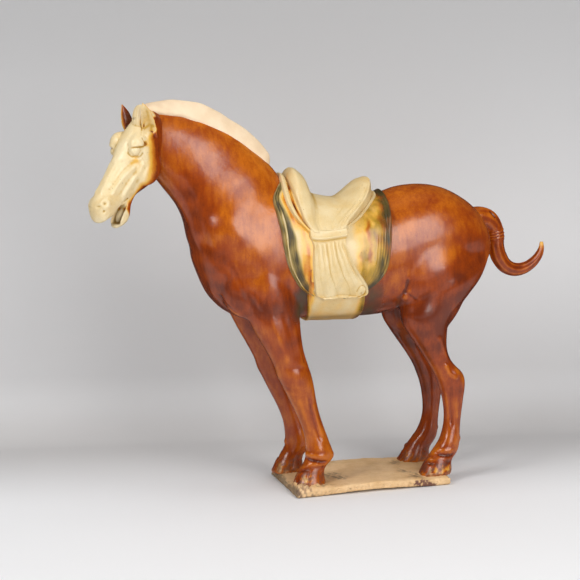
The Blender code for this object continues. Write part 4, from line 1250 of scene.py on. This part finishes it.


# adds to amber and green along the edges (a green band, a brown patch, a yellow stripe) and returns
# the darkening: in the band, at the rear edge, low down, and painted shade at the edges and in folds
def paintBlanket(made, co, amber, green):
    front, rear = 10 * valuesOf(made, "front"), 10 * valuesOf(made, "rear")
    x, z = co[:, 0], co[:, 2]
    streaks = 0.9 + 0.30 * ripple(co * [1, 1, 0.15], 9, 89)
    frontHalf = fade(x, -76, -60)
    rearHalf = 1 - frontHalf
    heights = [258, 300, 340, 378, 400]
    centre = np.interp(z, heights, [9, 10.5, 11, 7, 4]) + 1.0 * ripple(co * [0, 0, 1], 26, 79)
    band = bell(front, centre, np.interp(z, heights, [9, 8.5, 8.0, 6.0, 4.0]), 3) * frontHalf
    ridge = bell(front, 5.6, 1.2) * frontHalf * fade(z, 372, 384)
    band = np.maximum(band, 0.8 * bell(front, 1.5, 3.0) * frontHalf) * (1 - 0.85 * ridge)
    green += band * np.interp(z, heights, [0.62, 0.72, 0.80, 0.85, 0.6]) * streaks
    # amber between the band and the saddle, and a yellow stripe beside the pleats
    brown = softStep(front, centre + 4, centre + 11) * frontHalf * softStep(z, 350, 378)
    stripe = bell(x, -82, 6.5, 3) * fade(z, 348, 362) * softStep(z, 262, 276)
    amber += (0.66 * brown + 0.52 * stripe) * streaks + 0.12 * frontHalf * (1 - ridge)
    amber += 0.29 * softStep(x, -24, -6) + 0.04
    green += 0.38 * softStep(x, -24, 8) * streaks
    amber += 0.16 * bell(rear, 12, 12) * softStep(z, 300, 340)
    edge = rearHalf * bell(rear, 4.0, 7.0)
    green += edge * (0.34 + 0.42 * softStep(z, 335, 375)) * streaks
    green += 0.34 * rearHalf * bell(rear, 14, 6) * softStep(z, 290, 312) * fade(z, 362, 384) * streaks
    amber += 0.36 * edge * softStep(z, 300, 360) + 0.25 * rearHalf * bell(rear, 0.0, 2.5)
    grey = bell(rear, 10, 14) * fade(z, 292, 316) * rearHalf
    green += 0.22 * grey * streaks
    green += 0.2 * band
    thin = 0.40 + 0.10 * streaks + 0.60 * edge    # the rear green is thin, but for its edge
    green[:] = green * frontHalf + np.minimum(green, thin) * rearHalf
    dirt_and_shade = band * (0.38 + 0.10 * fade(z, 300, 345)) + 0.34 * edge + 0.12 * grey
    # darker along the lowest part; painted shade along the front and the rear edges
    dirt_and_shade += 0.30 * fade(z, 262, 274) + 0.35 * bell(front, 0.0, 2.2) + 0.40 * rearHalf * bell(rear, 0.0, 2.2)
    # painted shade in the grooves of the folds by the rear and the front edges
    for far in (5.0, 9.0, 13.0, 17.0):
        dirt_and_shade += 0.30 * bell(rear, far + 0.8 * np.sin(z / 9.0), 0.9) * rearHalf * fade(z, 330, 372)
        dirt_and_shade += 0.30 * bell(front, far + 0.8 * np.sin(z / 8.0), 0.9) * frontHalf * fade(z, 296, 330)
    return dirt_and_shade


# cream with the runs of amber and green, then what each cloth has of its own
def paintCloth(made):
    co = pointsOf(made)
    x, z = co[:, 0], co[:, 2]
    amber, green = np.zeros(len(co)), np.zeros(len(co))
    for rows, total in ((amberRuns, amber), (greenRuns, green)):
        for i, (middle, top, bottom, width, depth) in enumerate(rows):
            near = run(co, middle, top, bottom, width, 70 + i)
            aside = middle + 3 * np.sin(2.0 * i + 1)
            far = run(co, aside, top - 4, bottom - 4, width * 1.1, 170 + i)
            total += depth * np.where(co[:, 1] < 0, near, 0.9 * far)
    dirt_and_shade = 0 * amber
    if made.name == "blanket":
        dirt_and_shade = paintBlanket(made, co, amber, green)
    if made.name == "pad":
        front = 10 * valuesOf(made, "front")
        amber += 0.30 * fade(z, 350, 392) * fade(x, -80, -60) + 0.08
        amber += 0.75 * bell(front, 11.5, 3.0)
        # painted shade in the groove behind the front roll, over its brown
        dirt_and_shade += 0.35 * bell(front, 11.5, 2.0)
        green *= 0.3
    if made.name == "saddle":
        amber *= 0.3
        green *= 0.0
        amber += 0.07 + 0.06 * softStep(x, -10, 20) + 0.05 * softStep(z, 395, 420)
    if made.name == "skirt":
        amber *= 0.25
        green *= 0.15
        amber += 0.05 + 0.10 * fade(z, 264, 276) + 0.04 * ripple(co, 22, 85)
        dirt_and_shade += 0.10 * np.clip(ripple(co, 16, 86), 0, 1) * fade(z, 280, 310)
    if made.name == "girth":
        amber = 0.12 + 0.06 * ripple(co, 20, 87) + 0.40 * fade(x, -78, -68) + 0.34 * softStep(x, -14, -3)
        # painted shadow of the skirt's hem: more amber along the girth's top; more amber low down too
        amber += 0.20 * softStep(z, 264, 272) + 0.14 * bell(z, 234, 8)
        green = 0.85 * fade(x, -84, -72) + 0.8 * softStep(x, -12, 0)
        dirt_and_shade = 0.3 * green + 0.55 * bell(z, 235, 4.0)
    behind = softStep(x, -14, 14) if made.name == "blanket" else 0.0
    addCoatAndShade(made, 0.50 + 0.65 * behind + 0.12 * ripple(co, 30, 80))
    setMask(made, "amber", amber * (0.94 + 0.16 * ripple(co, 22, 82)) + 0.02 * ripple(co, 30, 83))
    setMask(made, "green", green * (0.94 + 0.16 * ripple(co, 22, 84)))
    setMask(made, "clay", 0 * amber)
    setMask(made, "dirt_and_shade", np.clip(dirt_and_shade, 0, 1))


# brown, and yellow at the tip
def paintTail(made):
    co = pointsOf(made)
    tip = softStep(co[:, 2], 306, 319) * softStep(co[:, 0], 262, 272)
    addCoatAndShade(made, 0.34 + 0.12 * ripple(co, 20, 90) - 0.2 * tip)
    setMask(made, "amber", 1 - 0.55 * tip)
    for mask in ("clay", "dirt_and_shade", "green"):
        setMask(made, mask, 0 * tip)


# grime on the crown
def paintMane(made):
    co = pointsOf(made)
    crown = softStep(-co[:, 0], 225, 262)
    setMask(made, "dirt_and_shade", np.clip(0.35 * crown * (0.5 + 0.5 * ripple(co, 14, 91)), 0, 1))


# centre, radii
slabSpots = {
    "smudges": [
        ((-34, -24, 13), (13, 30, 9)), ((-54, -6, 13), (12, 18, 9)), ((62, -20, 13), (9, 18, 9)),
        ((70, -46, 12), (8, 18, 9)), ((-66, -62, 12), (12, 8, 9)), ((68, 34, 12), (10, 14, 9)),
        ((-106, 62, 8), (12, 26, 14)), ((-107, 20, 5), (5, 44, 7)), ((-108, -62, 5), (6, 14, 9)),
        ((-84, -77, 3), (26, 4, 5)), ((100, -60, 13), (26, 8, 3)), ((60, -60, 13), (7, 8, 4)),
    ],
    "purple": [((68, -75, 6), (12, 9, 9)), ((80, -75, 3), (14, 9, 5))],
    "lute": [
        ((-90, -62, 13), (18, 18, 12)), ((104, -58, 12), (20, 20, 9)), ((-96, 44, 12), (20, 22, 12)),
        ((104, 44, 12), (20, 20, 9)), ((-100, -74, 6), (10, 8, 8)),
    ],
}


# grime in smudges, darker on the front end and low down; the amber mask holds its purple patches
def paintSlab(made):
    co = pointsOf(made)
    z = co[:, 2]
    smudges, purple, lute = (spots(co, slabSpots[name]) for name in ("smudges", "purple", "lute"))
    broken = 0.75 + 0.5 * ripple(co, 9, 92) + 0.25 * ripple(co, 4, 93)
    # painted shade along the bottom edge, and patchy grime low on the sides
    lowShadeAndGrime = 0.5 * fade(z, 1.5, 4.0) + 0.35 * np.clip(ripple(co, 5, 96), 0, 1) * fade(z, 8, 10)
    facing = fade(co[:, 0], -105, -98) * (1.0 + 0.6 * softStep(co[:, 1], -20, 40))
    setMask(made, "dirt_and_shade", 0.9 * softStep((smudges + facing) * broken + lowShadeAndGrime, 0.15, 1.2))
    patches = 0.85 * softStep(purple * broken, 0.25, 0.85) + 0.55 * softStep(lute * broken, 0.3, 1.0)
    setMask(made, "amber", patches)


paintBody(horseBody)
paintHead(horseHead)
for made in horseCloths:
    paintCloth(made)
paintTail(horseTail)
paintMane(horseMane)
paintSlab(horseSlab)
print("glazes laid")

places = [
    *((made, intoFrame) for made in (horseBody, horseMane, horseTail, *horseCloths)),
    (horseHead, lambda co: intoFrame(headPoint(co))),
    (horseSlab, lambda co: co / 1000 + [standX, slabMiddle[1], 0]),
]
for made, change in places:
    setPoints(made, change(pointsOf(made)))
    made.data.polygons.foreach_set("use_smooth", np.ones(len(made.data.polygons), bool))


# shader work: small helpers, then groups that give colours, masks and heights only
# a node with its settings; each input is a value or another node's socket
def addNode(tree, kind, inputs=None, **settings):
    node = tree.nodes.new(kind)
    for name, value in settings.items():
        setattr(node, name, value)
    for name, value in (inputs or {}).items():
        socket = node.inputs[name]
        if isinstance(value, bpy.types.NodeSocket):
            tree.links.new(value, socket)
        else:
            socket.default_value = value
    return node


# a group's tree, the sockets it is given, and those of its result
def newGroup(name, inputs, outputs):
    tree = bpy.data.node_groups.new(name, "ShaderNodeTree")
    for label, kind, value in inputs:
        socket = tree.interface.new_socket(label, in_out="INPUT", socket_type=kind)
        if value is not None:
            socket.default_value = value
    for label, kind in outputs:
        tree.interface.new_socket(label, in_out="OUTPUT", socket_type=kind)
    return tree, tree.nodes.new("NodeGroupInput").outputs, tree.nodes.new("NodeGroupOutput").inputs


# one sum of two or three values
def mathNode(tree, operation, first, second=0.0, third=0.0, clamp=False):
    return addNode(tree, "ShaderNodeMath", {0: first, 1: second, 2: third}, operation=operation,
                   use_clamp=clamp).outputs[0]


# from start to end, softly, while the value goes from low to high
def spanNode(tree, value, low, high, start=0.0, end=1.0):
    return addNode(tree, "ShaderNodeMapRange", {"Value": value, "From Min": low, "From Max": high,
                                                "To Min": start, "To Max": end},
                   interpolation_type="SMOOTHSTEP").outputs["Result"]


# the first colour where the share is 0, the second where it is 1
def mixNode(tree, share, first, second, blend="MIX"):
    node = addNode(tree, "ShaderNodeMix", data_type="RGBA", blend_type=blend)
    for socket, value in ((node.inputs[0], share), (node.inputs[6], first), (node.inputs[7], second)):
        if isinstance(value, bpy.types.NodeSocket):
            tree.links.new(value, socket)
        else:
            socket.default_value = value if isinstance(value, float) else (*value, 1)
    return node.outputs[2]


# noise, drawn out where the stretch is small
def noiseNode(tree, place, scale, detail=3.0, rough=0.55, stretch=None):
    if stretch is not None:
        place = addNode(tree, "ShaderNodeMapping", {"Vector": place, "Scale": stretch}).outputs[0]
    return addNode(tree, "ShaderNodeTexNoise", {"Vector": place, "Scale": scale, "Detail": detail,
                                                "Roughness": rough}).outputs["Fac"]


# a vector times a number
def scaledNode(tree, vector, factor):
    return addNode(tree, "ShaderNodeVectorMath", {0: vector, "Scale": factor}, operation="SCALE").outputs[0]


# for one tree: product, sum, difference, product plus a third value, mix and span
def shortForms(tree):
    sums = [partial(mathNode, tree, kind) for kind in ("MULTIPLY", "ADD", "SUBTRACT", "MULTIPLY_ADD")]
    return (*sums, partial(mixNode, tree), partial(spanNode, tree))


# the outputs of a group that is given a place
def useGroup(tree, group, place):
    return addNode(tree, "ShaderNodeGroup", {"Place": place}, node_tree=group).outputs


# three sizes of cloudiness: broad clouds, long runs down the sides, and fine grain
def makeCloudGroup():
    tree, given, result = newGroup(
        "cloudiness",
        [("Place", "NodeSocketVector", None), ("Size", "NodeSocketFloat", 1.0)],
        [("Clouds", "NodeSocketFloat"), ("Runs", "NodeSocketFloat"), ("Grain", "NodeSocketFloat")])
    place = scaledNode(tree, given["Place"], given["Size"])
    clouds = noiseNode(tree, place, 40.0, 4.0, 0.6)
    runs = noiseNode(tree, place, 170.0, 3.0, 0.55, (1.0, 1.0, 0.22))
    grain = noiseNode(tree, place, 420.0, 3.0, 0.65)
    tree.links.new(spanNode(tree, clouds, 0.28, 0.72), result["Clouds"])
    tree.links.new(spanNode(tree, runs, 0.28, 0.72), result["Runs"])
    tree.links.new(grain, result["Grain"])
    return tree


# small faults in the glaze: dark specks of iron, pinholes, and a fine web of crackle
def makeFaultGroup():
    tree, given, result = newGroup(
        "faults",
        [("Place", "NodeSocketVector", None), ("Cell", "NodeSocketFloat", 330.0)],
        [("Specks", "NodeSocketFloat"), ("Crackle", "NodeSocketFloat")])
    dots = addNode(tree, "ShaderNodeTexVoronoi", {"Vector": given["Place"], "Scale": 170.0},
                   feature="F1").outputs["Distance"]
    rare = noiseNode(tree, given["Place"], 60.0, 2.0)
    specks = mathNode(tree, "MULTIPLY", spanNode(tree, dots, 0.16, 0.05), spanNode(tree, rare, 0.52, 0.62))
    bent = addNode(tree, "ShaderNodeTexNoise", {"Vector": given["Place"], "Scale": 140.0, "Detail": 2.0})
    bent = scaledNode(tree, bent.outputs["Color"], 0.004)
    place = addNode(tree, "ShaderNodeVectorMath", {0: given["Place"], 1: bent}, operation="ADD").outputs[0]
    web = addNode(tree, "ShaderNodeTexVoronoi", {"Vector": place, "Scale": given["Cell"]},
                  feature="DISTANCE_TO_EDGE").outputs["Distance"]
    tree.links.new(specks, result["Specks"])
    tree.links.new(spanNode(tree, web, 0.05, 0.0), result["Crackle"])
    return tree


cloudGroup, faultGroup = makeCloudGroup(), makeFaultGroup()

glaze = {
    "cream": (0.800, 0.600, 0.300), "creamPale": (0.860, 0.720, 0.450),
    "creamPooled": (0.520, 0.340, 0.090),
    "yellow": (0.800, 0.450, 0.070), "orange": (0.560, 0.170, 0.012),
    "amber": (0.290, 0.044, 0.0025), "amberThin": (0.540, 0.140, 0.006),
    "amberDeep": (0.125, 0.018, 0.003),
    "green": (0.128, 0.096, 0.016), "greenPale": (0.510, 0.510, 0.200),
    "greenDeep": (0.033, 0.024, 0.009),
    # the dark colour serves crackle, grime and painted shade
    "clay": (0.740, 0.530, 0.290), "dirt_and_shade": (0.060, 0.040, 0.026),
    "ior": 1.50, "specular": 0.5,
    "bumpDepth": 0.0012,      # metres
    "bump": {"bodyGlaze": 0.25, "faceGlaze": 0.18, "clothGlaze": 0.20},
}


# The glaze's colour from its masks: cream, yellow, orange and brown as amber rises, then
# the copper green, darker where it pools in hollows and paler on ridges, then bare clay.
def makeGlazeGroup():
    tree, given, result = newGroup(
        "sancaiGlaze",
        [("Place", "NodeSocketVector", None), ("Amber", "NodeSocketFloat", 1.0),
         *((name, "NodeSocketFloat", 0.0) for name in ("Green", "Hollow", "Coat", "Clay", "Dirt_and_shade"))],
        [("Color", "NodeSocketColor"), ("Roughness", "NodeSocketFloat"), ("Height", "NodeSocketFloat")])
    times, plus, minus, timesPlus, mix, span = shortForms(tree)
    cloud = useGroup(tree, cloudGroup, given["Place"])
    fault = useGroup(tree, faultGroup, given["Place"])
    clouds, runs, grain = (cloud[name] for name in ("Clouds", "Runs", "Grain"))
    ridge = span(given["Hollow"], -0.10, -0.85)
    pool = span(given["Hollow"], 0.06, 0.80)

    # brown: thickness decides between thin orange and deep brown
    thick = timesPlus(clouds, 0.16, times(runs, 0.20))
    thick = plus(thick, timesPlus(grain, 0.36, 0.03))
    # the coat mask: thicker glaze, and on the body painted shade under the belly
    thick = plus(thick, given["Coat"])
    thick = plus(thick, times(pool, 0.50))
    thick = minus(thick, times(ridge, 0.34), clamp=True)
    brown = mix(span(thick, 0.0, 0.66), glaze["amberThin"], glaze["amber"])
    brown = mix(span(thick, 0.50, 1.10), brown, glaze["amberDeep"])

    cream = mix(clouds, glaze["cream"], glaze["creamPale"])
    cream = mix(times(ridge, 0.8), cream, glaze["creamPale"])
    deep = timesPlus(pool, 0.80, times(given["Coat"], 0.55), clamp=True)
    cream = mix(deep, cream, glaze["creamPooled"])

    wavy = timesPlus(minus(grain, 0.5), 0.16, given["Amber"])
    wavy = timesPlus(pool, 0.16, wavy)
    shade = mix(span(wavy, 0.04, 0.40), cream, glaze["yellow"])
    shade = mix(span(wavy, 0.36, 0.68), shade, glaze["orange"])
    shade = mix(span(wavy, 0.62, 0.92), shade, brown)

    copper = mix(timesPlus(clouds, 0.5, times(runs, 0.4)), glaze["green"], glaze["greenDeep"])
    greenHere = timesPlus(minus(pool, ridge), 0.22, given["Green"])
    greenHere = times(greenHere, timesPlus(runs, 0.35, 0.80))
    shade = mix(times(span(greenHere, 0.05, 0.50), 0.85), shade, glaze["greenPale"], "MULTIPLY")
    shade = mix(span(greenHere, 0.36, 0.95), shade, copper)

    shade = mix(times(fault["Specks"], 0.55), shade, glaze["amberDeep"])
    shade = mix(times(fault["Crackle"], 0.10), shade, glaze["dirt_and_shade"])
    shade = mix(given["Clay"], shade, mix(grain, glaze["clay"], glaze["creamPale"]))
    # darker for grime, and for painted shade in the head's creases, holes and mouth, and in the cloths'
    # folds and edges
    shade = mix(times(given["Dirt_and_shade"], 0.92), shade, glaze["dirt_and_shade"])
    rough = timesPlus(grain, 0.14, timesPlus(clouds, 0.06, 0.12))
    rough = timesPlus(span(wavy, 0.55, 0.10), 0.10, rough)
    rough = timesPlus(given["Clay"], 0.45, rough)
    rough = timesPlus(given["Dirt_and_shade"], 0.30, rough, clamp=True)
    height = timesPlus(runs, 0.12, times(grain, 0.25))
    height = minus(height, times(fault["Specks"], 0.3))
    for name, value in (("Color", shade), ("Roughness", rough), ("Height", height)):
        tree.links.new(value, result[name])
    return tree


glazeGroup = makeGlazeGroup()


# a material with its tree, its shader, and the object's own coordinates
def newMaterial(name):
    made = bpy.data.materials.new(name)
    made.use_nodes = True
    tree = made.node_tree
    place = tree.nodes.new("ShaderNodeTexCoord").outputs["Object"]
    return made, tree, tree.nodes["Principled BSDF"], place


# a height in the shader's normal, as deep as the distance in metres
def addBump(tree, shader, height, strength, distance):
    bumped = addNode(tree, "ShaderNodeBump", {"Height": height, "Strength": strength, "Distance": distance})
    tree.links.new(bumped.outputs[0], shader.inputs["Normal"])


# a piece's mask, read by its name
def maskNode(tree, mask):
    return addNode(tree, "ShaderNodeAttribute", attribute_name=mask).outputs["Fac"]


# the glaze group, given the piece's masks
def glazeMaterial(name):
    made, tree, shader, place = newMaterial(name)
    group = addNode(tree, "ShaderNodeGroup", {"Place": place}, node_tree=glazeGroup)
    for mask in ("amber", "green", "hollow", "coat", "clay", "dirt_and_shade"):
        tree.links.new(maskNode(tree, mask), group.inputs[mask.capitalize()])
    tree.links.new(group.outputs["Color"], shader.inputs["Base Color"])
    tree.links.new(group.outputs["Roughness"], shader.inputs["Roughness"])
    addBump(tree, shader, group.outputs["Height"], glaze["bump"][name], glaze["bumpDepth"])
    shader.inputs["IOR"].default_value = glaze["ior"]
    shader.inputs["Specular IOR Level"].default_value = glaze["specular"]
    return made


clays = {
    "maneClay": {
        "pale": (0.87, 0.690, 0.480), "deep": (0.80, 0.600, 0.390), "stain": (0.36, 0.19, 0.09),
        "rough": 0.50, "bump": 0.20, "grain": 500.0,
    },
    "slabClay": {
        "pale": (0.86, 0.590, 0.322), "deep": (0.70, 0.436, 0.197), "stain": (0.11, 0.070, 0.045),
        "rough": 0.58, "bump": 0.55, "grain": 420.0,
    },
}
clayPatch = (0.165, 0.062, 0.040)    # the purple where the amber mask is full


# bare clay: the mane and the slab, with grain, grime and iron spots
def clayMaterial(name):
    clay = clays[name]
    deep, stain, rough = clay["deep"], clay["stain"], clay["rough"]
    made, tree, shader, place = newMaterial(name)
    times, _, _, _, mix, span = shortForms(tree)
    cloud, fault = useGroup(tree, cloudGroup, place), useGroup(tree, faultGroup, place)
    hollow, dirt_and_shade, patch = (maskNode(tree, mask) for mask in ("hollow", "dirt_and_shade", "amber"))
    shade = mix(cloud["Clouds"], deep, clay["pale"])
    shade = mix(times(span(cloud["Grain"], 0.52, 0.72), 0.35), shade, deep)
    shade = mix(times(span(hollow, 0.05, 0.7), 0.6), shade, stain)
    shade = mix(span(patch, 0.1, 0.9), shade, clayPatch)
    shade = mix(times(fault["Specks"], 0.5), shade, stain)
    # darker for grime, and on the slab for painted shade along its bottom edge
    shade = mix(times(dirt_and_shade, 0.8), shade, stain)
    tree.links.new(shade, shader.inputs["Base Color"])
    grain = noiseNode(tree, place, clay["grain"], 5.0, 0.7)
    dullness = span(cloud["Grain"], 0.2, 0.8, rough - 0.08, rough + 0.08)
    tree.links.new(dullness, shader.inputs["Roughness"])
    addBump(tree, shader, grain, clay["bump"], 0.001)
    return made


bodyGlaze, faceGlaze, clothGlaze = (glazeMaterial(name) for name in ("bodyGlaze", "faceGlaze", "clothGlaze"))
maneClay, slabClay = clayMaterial("maneClay"), clayMaterial("slabClay")

finishes = [
    (horseBody, bodyGlaze, "amber_glaze"), (horseTail, bodyGlaze, "amber_glaze"),
    (horseHead, faceGlaze, "cream_glaze"), (horseMane, maneClay, "bare_clay"),
    *((cloth, clothGlaze, "cream_glaze") for cloth in horseCloths),
    (horseSlab, slabClay, "bare_clay"),
]
for made, finish, slot in finishes:
    made.data.materials.clear()
    made.data.materials.append(finish)
    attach(made, "root")
    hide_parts("horse")
print("glazes fired,", sum(trianglesOf(made) for made, _, _ in finishes), "triangles")

studio = {
    "sweepBehind": 0.27,      # metres from the figure's middle to where the paper curves up
    "sweepRadius": 0.10,
    "wide": 7.0, "ahead": 6.0, "high": 3.2,
    "gap": (-1.20, -0.62),    # a strip of floor before the figure that its glaze doesn't mirror
    # the paper's colours: painted shade darkens the floor towards the foot of the curve, and the wall
    # towards its top
    "floor": (0.86, 0.865, 0.880), "foot": (0.57, 0.560, 0.560),
    "wall": (0.67, 0.670, 0.680), "top": (0.435, 0.436, 0.444),
    "turn": -14.44,
    "paperRough": 0.9, "paperSpecular": 0.15,
    "world": (0.80, 0.80, 0.81, 1), "worldStrength": 0.05,
    "aim": 0.28,              # the height that the lights point at
}
lights = [
    # name, azimuth, elevation, distance, width, height, power, colour; the one overhead is
    # kept out of the glaze's reflections
    ("softBox", 15, 19, 2.1, 1.05, 1.5, 30, (1.0, 0.985, 0.965)),
    ("overhead", -20, 90, 2.0, 2.2, 1.8, 22, (1.0, 1.0, 1.0)),
    ("sideFill", -62, 30, 2.3, 0.9, 0.9, 22, (1.0, 0.99, 0.975)),
]
view = {
    "place": (-0.555, -1.81033, 0.46167),
    "azimuth": -14.4407, "elevation": 5.8254, "roll": -1.5696,
    "lens": 85.72, "sensor": 36.0,
}


# azimuth 0 is before the horse's left side, and turns towards the tail
def directionOf(azimuth, elevation):
    turn, rise = np.radians(azimuth), np.radians(elevation)
    return np.array([np.sin(turn) * np.cos(rise), -np.cos(turn) * np.cos(rise), np.sin(rise)])


# a paper sweep: the floor, a quarter round, and a wall, carried sideways, in strips. The
# glaze mirrors the floor near the figure, and neither the wall nor the gap before it.
def makeStage():
    radius, back = studio["sweepRadius"], studio["sweepBehind"]
    turn = np.linspace(0, np.pi / 2, 24)[1:]
    flat = np.array([-studio["ahead"], *studio["gap"], back - 0.05, back])
    run = np.concatenate([flat, back + radius * np.sin(turn), [back + radius]])
    rise = np.concatenate([0 * flat, radius * (1 - np.cos(turn)), [studio["high"]]])
    across = np.linspace(-1, 1, 3) * studio["wide"] / 2
    heading = np.radians(studio["turn"])
    ahead = np.array([-np.sin(heading), np.cos(heading), 0])
    side = np.array([np.cos(heading), np.sin(heading), 0])
    points = run[:, None, None] * ahead + across[None, :, None] * side + rise[:, None, None] * [0, 0, 1.0]
    paper, tree, shader, place = newMaterial("sweepPaper")
    height = addNode(tree, "ShaderNodeSeparateXYZ", {0: place}).outputs["Z"]
    behind = addNode(tree, "ShaderNodeVectorMath", {0: place, 1: tuple(ahead)},
                     operation="DOT_PRODUCT").outputs["Value"]
    # painted shade: the floor darkens towards the curve, the wall is darker than the floor, and darker again
    # higher up
    shade = mixNode(tree, spanNode(tree, behind, back - 0.39, back - 0.01), studio["floor"], studio["foot"])
    shade = mixNode(tree, spanNode(tree, height, 0.0, 0.07), shade, studio["wall"])
    shade = mixNode(tree, spanNode(tree, height, 0.20, 0.80), shade, studio["top"])
    tree.links.new(shade, shader.inputs["Base Color"])
    shader.inputs["Roughness"].default_value = studio["paperRough"]
    shader.inputs["Specular IOR Level"].default_value = studio["paperSpecular"]
    # the paper is clear from behind, so that the figure's far side can be seen
    rear = tree.nodes.new("ShaderNodeNewGeometry").outputs["Backfacing"]
    tree.links.new(mathNode(tree, "SUBTRACT", 1.0, rear), shader.inputs["Alpha"])
    for name, first, last, inGlaze in (("sweepFront", 0, 2, True), ("sweepGap", 1, 3, False),
                                       ("sweepFloor", 2, 4, True), ("sweepWall", 3, len(run), False)):
        strip = points[first:last]
        grid = np.arange(len(strip) * 3).reshape(-1, 3)
        quads = np.stack([grid[:-1, :-1], grid[:-1, 1:], grid[1:, 1:], grid[1:, :-1]], -1).reshape(-1, 4)
        mesh = bpy.data.meshes.new(name)
        mesh.from_pydata(strip.reshape(-1, 3).tolist(), [], quads.tolist())
        mesh.polygons.foreach_set("use_smooth", np.ones(len(mesh.polygons), bool))
        mesh.materials.append(paper)
        made = bpy.data.objects.new(name, mesh)
        made.visible_glossy = inGlaze
        bpy.context.scene.collection.objects.link(made)


# area lights that face the figure, and a dim world
def makeLights():
    for name, azimuth, elevation, distance, width, height, power, colour in lights:
        data = bpy.data.lights.new(name, "AREA")
        data.shape = "RECTANGLE"
        data.size, data.size_y = width, height
        data.energy = power
        data.color = colour
        made = bpy.data.objects.new(name, data)
        way = Vector(directionOf(azimuth, elevation))
        made.location = Vector((0, 0, studio["aim"])) + way * distance
        made.rotation_euler = way.to_track_quat("Z", "Y").to_euler()
        made.visible_camera = False
        made.visible_glossy = name != "overhead"
        bpy.context.scene.collection.objects.link(made)
    world = bpy.data.worlds.new("studio")
    world.use_nodes = True
    background = world.node_tree.nodes["Background"]
    background.inputs["Color"].default_value = studio["world"]
    background.inputs["Strength"].default_value = studio["worldStrength"]
    bpy.context.scene.world = world
    bpy.context.scene.view_settings.view_transform = "Standard"


# it looks along its azimuth and elevation, and is rolled about that line
def makeCamera():
    back = directionOf(view["azimuth"], view["elevation"])
    level = np.cross([0, 0, 1.0], back)
    level /= np.linalg.norm(level)
    upright = np.cross(back, level)
    roll = np.radians(view["roll"])
    right = np.cos(roll) * level + np.sin(roll) * upright
    up = np.cross(back, right)
    data = bpy.data.cameras.new("camera")
    data.lens, data.sensor_width = view["lens"], view["sensor"]
    made = bpy.data.objects.new("camera", data)
    turn = Matrix(np.column_stack([right, up, back]).tolist()).to_4x4()
    made.matrix_world = Matrix.Translation(Vector(view["place"]) + Vector((standX, slabMiddle[1], 0))) @ turn
    bpy.context.scene.collection.objects.link(made)
    bpy.context.scene.camera = made


makeStage()
makeLights()
makeCamera()
print("studio ready")
